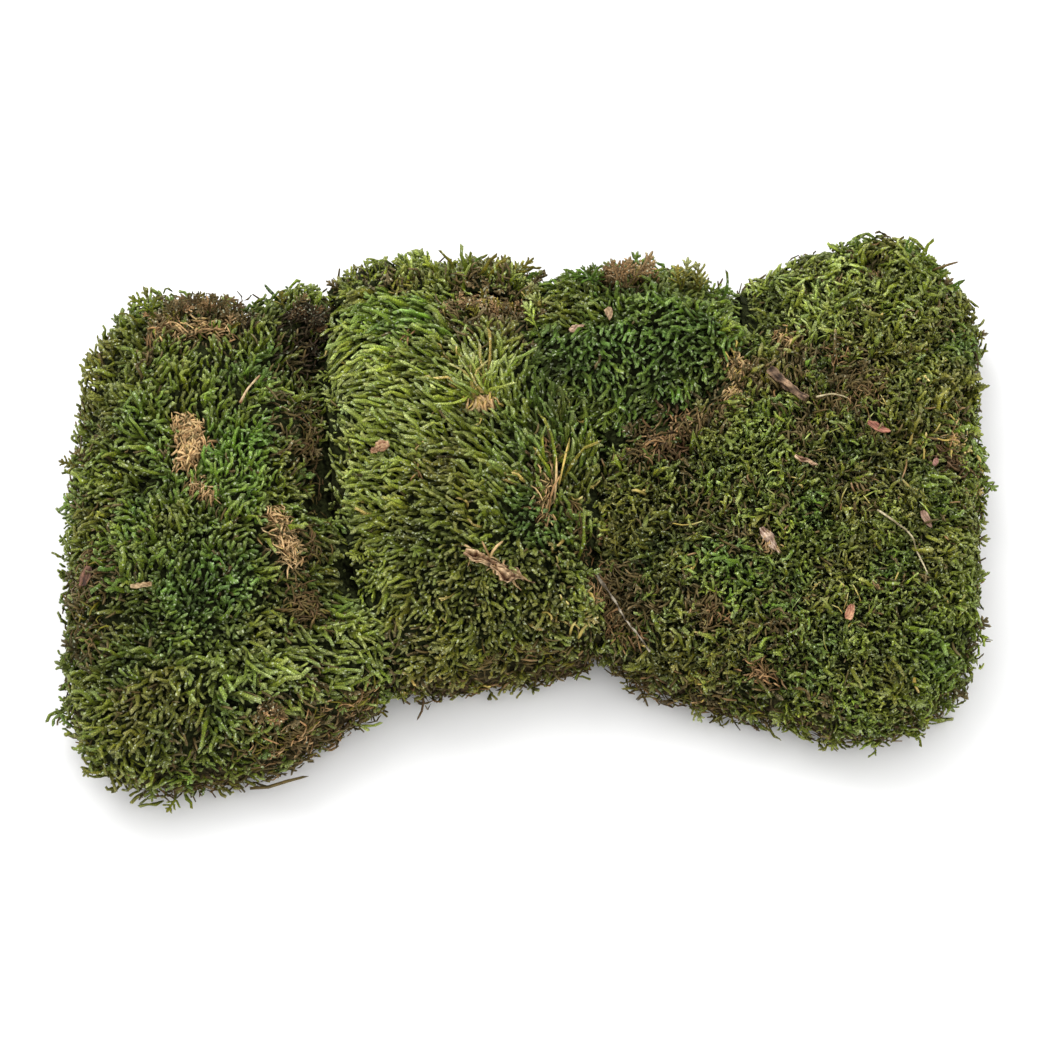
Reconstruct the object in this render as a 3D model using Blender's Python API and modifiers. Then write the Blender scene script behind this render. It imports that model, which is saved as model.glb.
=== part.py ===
"""Moss clump: four peeled sods of feather moss and a back tuft, pressed together, with the litter caught on them.

Metres, +Z up. The clump stands on z = 0 with its front towards -Y, and the origin is under the middle of its box.
"""

import math

import bmesh
import bpy
from mathutils import Matrix, Vector
from mathutils.bvhtree import BVHTree

MM = 0.001

# Driving sizes of the clump
SOD_THICKNESS = 0.044
GAP = 0.0003
PRESS = 0.0014
LITTER_SKIN = 0.0004
SNAP = 0.0012

# How a sod's side is drawn in towards its middle (metres) at each share of its thickness, from below the cut upwards
SIDE = ((0.013, -0.20), (0.008, 0.00), (0.003, 0.34), (0.005, 0.64), (0.012, 0.86), (0.026, 0.98))
# The crown's rings, as shares of the way in from the last ring of the side
CROWN = ((0.35, 1.03), (0.70, 1.05))

# Relief of a moss surface: soft cushions and the tufts on them, as (size, height) of a cloud texture
CUSHIONS = (0.030, 0.0085)
TUFTS = (0.0085, 0.0036)
OUTLINE_STEPS = 4
WEAVE = 0.0045

# Each sod: outline seen from above in mm, anticlockwise; thickness as a share of SOD_THICKNESS; how far its foot is
# drawn in under it, in mm; triangles kept; hummocks and hollows as (x, y, radius, rise) in mm; and the sods that were
# there first, to which it gives way
SODS = {
    "moss_sod_left": {
        "outline": (
            (-156, -108), (-124, -115), (-92, -107), (-65, -91), (-46, -71), (-58, -36), (-67, 10),
            (-71, 56), (-73, 98), (-84, 110), (-110, 107), (-136, 105), (-161, 97), (-176, 68), (-179, 8), (-175, -55),
        ),
        "thickness": 0.98,
        "undercut": 0,
        "triangles": 1900,
        "hummocks": (
            (-133, 86, 26, 6), (-130, -30, 58, 5), (-88, -74, 30, 4),
            (-80, 60, 30, -13), (-75, 6, 28, -13), (-67, -38, 20, -8),
        ),
        "gives_way_to": (),
    },
    "moss_sod_crest": {
        "outline": (
            (27, 21), (48, 19), (72, 32), (88, 44), (95, 64), (95, 88), (90, 106), (69, 120),
            (36, 120), (10, 109), (-4, 91), (-10, 70), (-8, 50), (6, 32),
        ),
        "thickness": 1.14,
        "undercut": 12,
        "triangles": 900,
        "hummocks": ((46, 84, 34, 2),),
        "gives_way_to": (),
    },
    "moss_sod_right": {
        "outline": (
            (28, -61), (66, -81), (101, -89), (128, -94), (153, -85), (170, -62), (180, -30), (185, 30),
            (187, 87), (176, 118), (148, 131), (110, 124), (90, 110), (66, 78), (40, 50), (24, 26), (22, -12),
        ),
        "thickness": 0.95,
        "undercut": 0,
        "triangles": 2100,
        "hummocks": (
            (150, 98, 40, 7), (120, 10, 60, 3), (150, -50, 36, 3),
            (36, -46, 24, -10), (96, 66, 30, -2), (141, 108, 13, -9),
        ),
        "gives_way_to": ("moss_sod_crest",),
    },
    "moss_sod_centre": {
        "outline": (
            (-50, -75), (-22, -74), (4, -69), (30, -62), (34, -34), (36, 4), (36, 34), (14, 70),
            (4, 98), (-34, 104), (-66, 103), (-80, 84), (-82, 44), (-77, 2), (-66, -36),
        ),
        "thickness": 1.10,
        "undercut": 0,
        "triangles": 1500,
        "hummocks": ((-40, 52, 46, 4), (-18, -12, 40, 2), (-60, -55, 22, -8), (23, -24, 20, -9)),
        "gives_way_to": ("moss_sod_left", "moss_sod_crest", "moss_sod_right"),
    },
    "moss_tuft_back": {
        "outline": ((-80, 86), (-36, 84), (2, 84), (20, 98), (10, 116), (-20, 124), (-52, 121), (-82, 108)),
        "thickness": 0.98,
        "undercut": 0,
        "triangles": 450,
        "hummocks": (),
        "gives_way_to": ("moss_sod_left", "moss_sod_crest", "moss_sod_centre"),
    },
}

# Dry stalks lying on the moss: route seen from above in mm, and thickness
STALKS = {
    "stalk_long_grey": {"route": ((28, -33), (34, -42), (41, -53), (48, -64)), "thickness": 0.0012},
    "stalk_pale_curved": {"route": ((135, -10), (141, -14), (147, -19), (149, -27), (152, -37)), "thickness": 0.0010},
    "stalk_pale_short": {"route": ((115, 41), (121, 42), (127, 40)), "thickness": 0.0010},
    "stalk_needle": {"route": ((-109, 37), (-106, 44), (-102, 50)), "thickness": 0.0013},
}

# Flat litter: place seen from above in mm, turn in degrees, length and width in mm, how much it is curled across,
# how much it narrows to its point, and for a leaf the share of its length that is stalk
SCRAPS = {
    "leaf_scrap_tan": {"at": (35, 75), "turn": -60, "size": (6.0, 5.0), "curl": 0.5, "point": 0.5},
    "leaf_scrap_pink": {"at": (22, 70), "turn": 25, "size": (6.5, 3.4), "curl": 0.8, "point": 0.9},
    "leaf_scrap_rust": {"at": (-54, 17), "turn": 20, "size": (8.0, 5.0), "curl": 1.2, "point": 0.4},
    "leaf_scrap_dry": {"at": (94, -23), "turn": -60, "size": (12.0, 5.0), "curl": 1.6, "point": 0.7, "tail": 0.2},
    "leaf_crumpled": {"at": (-8, -38), "turn": -26, "size": (29.0, 8.0), "curl": 1.8, "point": 0.5, "tail": 0.28},
    "bud_scale_red": {"at": (138, 26), "turn": -20, "size": (9.5, 3.6), "curl": 1.6, "point": 0.8},
    "bud_scale_pink": {"at": (154, -12), "turn": -62, "size": (7.5, 3.6), "curl": 1.0, "point": 0.8},
    "bud_scale_orange": {"at": (122, -53), "turn": 70, "size": (6.0, 4.4), "curl": 1.4, "point": 0.6},
    "bud_scale_small": {"at": (160, 15), "turn": 60, "size": (4.4, 2.6), "curl": 1.2, "point": 0.7},
    "leaf_sliver_orange": {"at": (109, 10), "turn": -28, "size": (9.5, 2.6), "curl": 1.8, "point": 0.9},
    "wood_chip_tan": {"at": (-141, -44), "turn": 4, "size": (8.0, 2.6), "curl": 0.3, "point": 0.3},
    "bark_scrap_red": {"at": (-163, -37), "turn": 70, "size": (8.0, 4.6), "curl": 0.8, "point": 0.3},
}

# The bark-covered twig end: its middle seen from above in mm, turn in degrees, length and thickest width
TWIG_AT = (104, 46)
TWIG_TURN = -46
TWIG_LENGTH = 0.019
TWIG_THICKNESS = 0.0036

COLOURS = {
    "moss_sod_left": (0.085, 0.115, 0.022),
    "moss_sod_centre": (0.130, 0.160, 0.035),
    "moss_sod_crest": (0.050, 0.095, 0.020),
    "moss_sod_right": (0.080, 0.100, 0.025),
    "moss_tuft_back": (0.100, 0.090, 0.030),
    "stalk": (0.42, 0.36, 0.20),
    "leaf": (0.48, 0.27, 0.13),
    "bud": (0.50, 0.19, 0.12),
    "wood": (0.46, 0.32, 0.18),
    "bark": (0.20, 0.12, 0.075),
}


def clear_scene():
    for obj in list(bpy.data.objects):
        bpy.data.objects.remove(obj)


def new_collection(name):
    collection = bpy.data.collections.new(name)
    bpy.context.scene.collection.children.link(collection)
    return collection


def add_object(name, data, collection):
    obj = bpy.data.objects.new(name, data)
    collection.objects.link(obj)
    return obj


def evaluated_mesh(obj):
    """The object's mesh as its modifiers make it, as a new mesh."""
    graph = bpy.context.evaluated_depsgraph_get()
    return bpy.data.meshes.new_from_object(obj.evaluated_get(graph))


def finish_material(obj, colour_name, roughness):
    """A plain Principled material in one of the named colours."""
    material = bpy.data.materials.new(obj.name)
    material.use_nodes = True
    shader = material.node_tree.nodes["Principled BSDF"]
    shader.inputs["Base Color"].default_value = (*COLOURS[colour_name], 1.0)
    shader.inputs["Roughness"].default_value = roughness
    shader.inputs["Metallic"].default_value = 0.0
    obj.data.materials.clear()
    obj.data.materials.append(material)


# Sods

def smooth_outline(corners_mm, collection):
    """Points along a closed smooth curve through the corners, anticlockwise."""
    data = bpy.data.curves.new("outline", "CURVE")
    data.resolution_u = OUTLINE_STEPS
    spline = data.splines.new("BEZIER")
    spline.bezier_points.add(len(corners_mm) - 1)
    for point, (x, y) in zip(spline.bezier_points, corners_mm):
        point.co = (x * MM, y * MM, 0)
        point.handle_left_type = point.handle_right_type = "AUTO"
    spline.use_cyclic_u = True
    guide = add_object("outline", data, collection)
    mesh = evaluated_mesh(guide)
    points = [vertex.co.copy() for vertex in mesh.vertices]
    bpy.data.objects.remove(guide)
    bpy.data.meshes.remove(mesh)
    return points


def ring(outline, middle, inset, share, height):
    """The outline drawn in towards the middle by inset, then by a share of what is left, at a height."""
    points = []
    for point in outline:
        reach = (point - middle).length
        left = max(reach - inset, 0.0) * (1 - share)
        place = middle + (point - middle) * (left / reach)
        points.append(Vector((place.x, place.y, height)))
    return points


def sod_cage(name, outline, thickness, undercut, collection):
    """The outline extruded ring by ring from under the cut, round the side and over the crown, in an even weave."""
    middle = sum(outline, Vector()) / len(outline)
    rings = []
    for inset, height in SIDE:
        drawn_in = undercut * min(max(1 - height / 0.6, 0), 1)
        rings.append(ring(outline, middle, inset + drawn_in, 0, height * thickness))
    last_inset = SIDE[-1][0]
    rings += [ring(outline, middle, last_inset, share, height * thickness) for share, height in CROWN]
    cage = bmesh.new()
    top = cage.faces.new([cage.verts.new(point) for point in rings[0]])
    cage.faces.new([cage.verts.new(point) for point in rings[0]]).normal_flip()
    for points in rings[1:]:
        top = bmesh.ops.extrude_discrete_faces(cage, faces=[top])["faces"][0]
        for corner, point in zip(top.verts, points):
            corner.co = point
    bmesh.ops.remove_doubles(cage, verts=cage.verts[:], dist=1e-6)
    mesh = bpy.data.meshes.new(name)
    cage.to_mesh(mesh)
    cage.free()
    sod = add_object(name, mesh, collection)
    weave = sod.modifiers.new("weave", "REMESH")
    weave.mode = "VOXEL"
    weave.voxel_size = WEAVE
    rounding = sod.modifiers.new("rounding", "SMOOTH")
    rounding.iterations = 6
    return sod


def raise_hummocks(mesh, hummocks):
    """Lifts or sinks the upper surface round each named place, with a soft edge."""
    for vertex in mesh.vertices:
        height_share = max(vertex.co.z, 0) / SOD_THICKNESS
        for x, y, radius, rise in hummocks:
            far = math.hypot(vertex.co.x - x * MM, vertex.co.y - y * MM) / (radius * MM)
            if far < 1:
                vertex.co.z += rise * MM * height_share * (0.5 + 0.5 * math.cos(math.pi * far))


def add_relief(obj, name, size_and_height):
    """Pushes the surface in and out along its normals by a cloud pattern."""
    size, height = size_and_height
    clouds = bpy.data.textures.new(name, "CLOUDS")
    clouds.noise_scale = size
    clouds.noise_depth = 1
    relief = obj.modifiers.new(name, "DISPLACE")
    relief.texture = clouds
    relief.texture_coords = "LOCAL"
    relief.strength = height


def cut_flat_below(mesh):
    """Cuts the mesh off at z = 0, where the sod was peeled, and closes the cut with one flat face."""
    work = bmesh.new()
    work.from_mesh(mesh)
    for vertex in work.verts:
        if abs(vertex.co.z) < SNAP:
            vertex.co.z = 0
    everything = work.verts[:] + work.edges[:] + work.faces[:]
    bmesh.ops.bisect_plane(work, geom=everything, dist=1e-7, plane_co=(0, 0, 0), plane_no=(0, 0, -1), clear_outer=True)
    rim = [edge for edge in work.edges if edge.is_boundary]
    bmesh.ops.contextual_create(work, geom=rim)
    bmesh.ops.recalc_face_normals(work, faces=work.faces[:])
    work.to_mesh(mesh)
    work.free()


def make_sod(name, facts, parts, helpers):
    outline = smooth_outline(facts["outline"], helpers)
    cage = sod_cage(name + "_cage", outline, SOD_THICKNESS * facts["thickness"], facts["undercut"] * MM, helpers)
    soft = add_object(name + "_soft", evaluated_mesh(cage), helpers)
    raise_hummocks(soft.data, facts["hummocks"])
    add_relief(soft, "cushions", CUSHIONS)
    add_relief(soft, "tufts", TUFTS)
    thinning = soft.modifiers.new("thinning", "DECIMATE")
    thinning.ratio = facts["triangles"] / (2 * len(soft.data.polygons))
    mesh = evaluated_mesh(soft)
    cut_flat_below(mesh)
    for helper in (cage, soft):
        bpy.data.objects.remove(helper)
    sod = add_object(name, mesh, parts)
    finish_material(sod, name, 0.75)
    return sod


def press_against(sod, other, helpers):
    """The sod gives way to another that was there first, and keeps a small gap to it."""
    cutter = add_object(f"{sod.name}_from_{other.name}", other.data.copy(), helpers)
    swell = cutter.modifiers.new("gap", "DISPLACE")
    swell.strength = PRESS
    swell.mid_level = 0
    cutter.hide_render = True
    cutter.display_type = "WIRE"
    cut = sod.modifiers.new("pressed", "BOOLEAN")
    cut.operation = "DIFFERENCE"
    cut.object = cutter


def make_sods(parts, helpers):
    sods = {}
    for name, facts in SODS.items():
        sods[name] = make_sod(name, facts, parts, helpers)
        for other in facts["gives_way_to"]:
            press_against(sods[name], sods[other], helpers)
    return sods


# What lies on the moss

class MossTop:
    """The upper surface of all the sods together, to lay litter on."""

    SKY = 0.2

    def __init__(self, sods):
        work = bmesh.new()
        for sod in sods:
            work.from_mesh(evaluated_mesh(sod))
        self.tree = BVHTree.FromBMesh(work)
        self.corners = [vertex.co.copy() for vertex in work.verts]
        work.free()

    def height(self, x, y):
        hit = self.tree.ray_cast(Vector((x, y, self.SKY)), Vector((0, 0, -1)))[0]
        return hit.z if hit else 0.0

    def height_around(self, x, y, reach):
        """The highest surface within reach of a place, so that something that wide clears it."""
        ways = [(0, 0)] + [(math.cos(a * math.pi / 4), math.sin(a * math.pi / 4)) for a in range(8)]
        return max(self.height(x + reach * c, y + reach * s) for c, s in ways)

    def slope(self, x, y, reach):
        """The upward normal of the surface, averaged over reach."""
        across = self.height_around(x + reach, y, reach / 2) - self.height_around(x - reach, y, reach / 2)
        along = self.height_around(x, y + reach, reach / 2) - self.height_around(x, y - reach, reach / 2)
        return Vector((-across, -along, 2 * reach)).normalized()

    def drop(self, mesh):
        """How far a mesh can fall before it meets the moss, from its corners down and the moss's corners up."""
        falls = []
        for vertex in mesh.vertices:
            falls.append(vertex.co.z - self.height(vertex.co.x, vertex.co.y))
        shape = bmesh.new()
        shape.from_mesh(mesh)
        own = BVHTree.FromBMesh(shape)
        shape.free()
        low = [min(vertex.co[k] for vertex in mesh.vertices) for k in range(2)]
        high = [max(vertex.co[k] for vertex in mesh.vertices) for k in range(2)]
        for corner in self.corners:
            if low[0] < corner.x < high[0] and low[1] < corner.y < high[1]:
                hit = own.ray_cast(Vector((corner.x, corner.y, -self.SKY)), Vector((0, 0, 1)))[0]
                if hit:
                    falls.append(hit.z - corner.z)
        return min(falls)


def lay_down(obj, moss, x, y, turn_degrees, reach):
    """Turns the object about the vertical, tilts it with the moss under it and lets it fall until it rests there."""
    normal = moss.slope(x, y, reach)
    tilt = normal.to_track_quat("Z", "Y").to_matrix().to_4x4()
    forward = tilt.inverted() @ Vector((math.cos(math.radians(turn_degrees)), math.sin(math.radians(turn_degrees)), 0))
    turn = Matrix.Rotation(math.atan2(forward.y, forward.x), 4, "Z")
    place = Matrix.Translation((x, y, MossTop.SKY / 2))
    obj.data.transform(place @ tilt @ turn)
    fall = moss.drop(obj.data) - GAP
    obj.data.transform(Matrix.Translation((0, 0, -fall)))


def blade_width(u, point, tail):
    """A scrap's width at u, from -1 at its blunt end to 1 at its pointed one, where a leaf may have a stalk."""
    if u > 1 - 2 * tail:
        return 0.12
    return 1 - point * max(u, 0) ** 2 - 0.45 * max(-u, 0) ** 3


def make_scrap(name, facts, moss, parts, helpers):
    """A scrap of leaf or scale: a pointed sheet curled along its length, with a thin skin."""
    length, width = facts["size"][0] * MM, facts["size"][1] * MM
    sheet = bmesh.new()
    bmesh.ops.create_grid(sheet, x_segments=7, y_segments=3, size=0.5)
    curl = facts["curl"] / width * 0.5
    for vertex in sheet.verts:
        u, v = vertex.co.x * 2, vertex.co.y * 2
        x, y = u * length / 2, v * width / 2 * blade_width(u, facts["point"], facts.get("tail", 0))
        sag = 0.12 * facts["curl"] * width * (u * u + 0.35 * math.sin(3 * u + 2 * v))
        vertex.co = (x, math.sin(y * curl) / curl, (1 - math.cos(y * curl)) / curl + sag)
    mesh = bpy.data.meshes.new(name)
    sheet.to_mesh(mesh)
    sheet.free()
    guide = add_object(name + "_sheet", mesh, helpers)
    skin = guide.modifiers.new("skin", "SOLIDIFY")
    skin.thickness = LITTER_SKIN
    skin.offset = 0
    solid = evaluated_mesh(guide)
    bpy.data.objects.remove(guide)
    scrap = add_object(name, solid, parts)
    scrap.data.shade_smooth()
    lay_down(scrap, moss, facts["at"][0] * MM, facts["at"][1] * MM, facts["turn"], length / 2)
    colour = "leaf" if name.startswith("leaf") else "bud" if name.startswith("bud") else "wood"
    finish_material(scrap, colour, 0.6)
    return scrap


def resting_route(corners_mm, moss, radius):
    """Points every two diameters along a smooth line through the corners, resting on the moss and bridging its dips."""
    data = bpy.data.curves.new("route", "CURVE")
    data.resolution_u = 8
    spline = data.splines.new("BEZIER")
    spline.bezier_points.add(len(corners_mm) - 1)
    for point, (x, y) in zip(spline.bezier_points, corners_mm):
        point.co = (x * MM, y * MM, 0)
        point.handle_left_type = point.handle_right_type = "AUTO"
    guide = add_object("route", data, bpy.context.scene.collection)
    mesh = evaluated_mesh(guide)
    flat = [vertex.co.copy() for vertex in mesh.vertices]
    bpy.data.objects.remove(guide)
    bpy.data.meshes.remove(mesh)
    tightest_bend = 0.030
    heights = [moss.height_around(point.x, point.y, radius * 1.6) for point in flat]
    route = []
    for point in flat:
        lift = max(
            height - (other - point).length_squared / (2 * tightest_bend) for other, height in zip(flat, heights)
        )
        route.append(Vector((point.x, point.y, lift + radius + GAP)))
    return route


def make_stalk(name, facts, moss, parts):
    radius = facts["thickness"] / 2
    route = resting_route(facts["route"], moss, radius)
    data = bpy.data.curves.new(name, "CURVE")
    data.dimensions = "3D"
    data.bevel_depth = radius
    data.bevel_resolution = 1
    data.use_fill_caps = True
    spline = data.splines.new("POLY")
    spline.points.add(len(route) - 1)
    for k, (point, place) in enumerate(zip(spline.points, route)):
        along = k / (len(route) - 1)
        point.co = (*place, 1)
        point.radius = 1.0 - 0.45 * along
    stalk = add_object(name, data, parts)
    finish_material(stalk, "stalk", 0.6)
    return stalk


def make_twig(moss, parts):
    """A broken twig end with bark: a tapering, slightly bent rod with a knobbly skin."""
    rod = bmesh.new()
    bmesh.ops.create_cone(
        rod, cap_ends=True, segments=10, radius1=TWIG_THICKNESS / 2, radius2=TWIG_THICKNESS * 0.33, depth=TWIG_LENGTH
    )
    sides = [edge for edge in rod.edges if abs(edge.verts[0].co.z - edge.verts[1].co.z) > TWIG_LENGTH / 2]
    bmesh.ops.subdivide_edges(rod, edges=sides, cuts=6, use_grid_fill=True)
    for vertex in rod.verts:
        along = vertex.co.z / TWIG_LENGTH + 0.5
        swelling = 1 + 0.16 * math.sin(9 * along + 3 * math.atan2(vertex.co.y, vertex.co.x))
        vertex.co.x *= swelling
        vertex.co.y *= swelling
        vertex.co.x += 0.0012 * math.sin(math.pi * along)
    bmesh.ops.rotate(rod, verts=rod.verts[:], matrix=Matrix.Rotation(math.pi / 2, 3, "Y"))
    mesh = bpy.data.meshes.new("twig_bark")
    rod.to_mesh(mesh)
    rod.free()
    twig = add_object("twig_bark", mesh, parts)
    mesh.shade_smooth()
    lay_down(twig, moss, TWIG_AT[0] * MM, TWIG_AT[1] * MM, TWIG_TURN, TWIG_LENGTH / 2)
    finish_material(twig, "bark", 0.8)
    return twig


def stand_at_the_middle(parts, helpers):
    """Hangs everything on one empty, moved so that the middle of the clump's box is over the origin."""
    bpy.context.view_layer.update()
    corners = [vertex.co for obj in parts.objects for vertex in evaluated_mesh(obj).vertices]
    middle = [(min(c[k] for c in corners) + max(c[k] for c in corners)) / 2 for k in range(2)]
    anchor = add_object("clump_middle", None, helpers)
    anchor.location = (-middle[0], -middle[1], 0)
    for obj in list(parts.objects) + list(helpers.objects):
        if obj is not anchor:
            obj.parent = anchor


def main():
    clear_scene()
    parts = new_collection("moss clump")
    helpers = new_collection("cutters")
    sods = make_sods(parts, helpers)
    moss = MossTop(sods.values())
    make_twig(moss, parts)
    for name, facts in STALKS.items():
        make_stalk(name, facts, moss, parts)
    for name, facts in SCRAPS.items():
        make_scrap(name, facts, moss, parts, helpers)
    stand_at_the_middle(parts, helpers)


main()
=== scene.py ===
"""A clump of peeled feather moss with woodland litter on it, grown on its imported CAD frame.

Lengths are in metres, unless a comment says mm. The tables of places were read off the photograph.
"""
import contextlib
import functools
import itertools
import math
import typing

import bpy
import numpy as np
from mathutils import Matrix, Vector
from mathutils.bvhtree import BVHTree
from mathutils.kdtree import KDTree


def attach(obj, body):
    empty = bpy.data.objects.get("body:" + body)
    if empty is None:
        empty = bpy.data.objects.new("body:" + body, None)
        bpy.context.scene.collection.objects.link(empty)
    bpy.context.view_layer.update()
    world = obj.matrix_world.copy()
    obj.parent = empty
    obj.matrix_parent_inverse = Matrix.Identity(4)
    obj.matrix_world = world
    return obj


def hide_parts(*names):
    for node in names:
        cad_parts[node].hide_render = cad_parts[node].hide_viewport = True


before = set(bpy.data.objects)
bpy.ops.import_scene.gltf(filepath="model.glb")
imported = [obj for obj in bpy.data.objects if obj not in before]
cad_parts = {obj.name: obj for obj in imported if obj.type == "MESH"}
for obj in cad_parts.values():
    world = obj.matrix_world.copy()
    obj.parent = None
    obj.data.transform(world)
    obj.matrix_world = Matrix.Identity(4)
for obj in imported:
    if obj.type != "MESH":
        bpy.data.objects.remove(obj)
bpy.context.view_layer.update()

bl_info = {
    "name": "Moss clump",
    "version": (1, 0, 0),
    "blender": (4, 5, 0),
    "location": "3D View > Sidebar > Moss",
    "description": "Grows a clump of feather moss sods with woodland litter on them",
    "category": "Object",
}

MM = 0.001
BODY = "root"
FLOOR_LEVEL = 0.0
UP = np.array((0, 0, 1.0))
# The most triangles in one piece of moss.
MOST_FACES = 195000
# The points of a shoot's middle line, and the least heights of those and of the shoot's own points.
STATIONS = 8
LEAST_LINE_HEIGHT = 0.0006
LEAST_HEIGHT = 0.0002
# Shoots whose tips come this near to a piece of litter stay low, and those within the second don't fork.
LITTER_ROOM = 0.0022
LITTER_ROOM_FORKED = 0.004
# How far around a dead stem the others are counted, since stems that stand close together are grown twice.
CROWD_REACH = 0.0045
# Where the camera looks, how far it stands from there, how high over the table it is, and its lens in mm.
CAMERA_AIM = Vector((-0.0045, -0.0072, 0.020))
CAMERA_DISTANCE = 0.96
CAMERA_ANGLE = math.radians(60)
CAMERA_LENS = 85

# Colours of living and dead shoots: the body of the shoot and its tip, which is paler partly as painted
# highlight.
SHOOT_COLOURS = {
    "leaf": ((104, 118, 26), (152, 162, 106)),
    "fresh": ((124, 140, 32), (172, 182, 116)),
    "light": ((144, 158, 58), (190, 199, 142)),
    "deep": ((76, 110, 28), (124, 152, 96)),
    "blue": ((92, 128, 36), (142, 166, 104)),
    "olive": ((108, 102, 28), (152, 144, 100)),
    "straw": ((178, 156, 84), (214, 196, 136)),
    "tan": ((186, 155, 112), (222, 198, 158)),
    "rust": ((138, 106, 72), (184, 154, 120)),
    "umber": ((86, 71, 42), (132, 115, 84)),
    "maroon": ((82, 58, 40), (120, 92, 70)),
    "bog": ((42, 30, 26), (80, 58, 48)),
}
# How much of a colour's shoots are dead, bare stems.
DEAD_SHARE = {"straw": 0.6, "tan": 1.0, "rust": 0.8, "umber": 0.5, "maroon": 0.7, "bog": 0.7}
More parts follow.
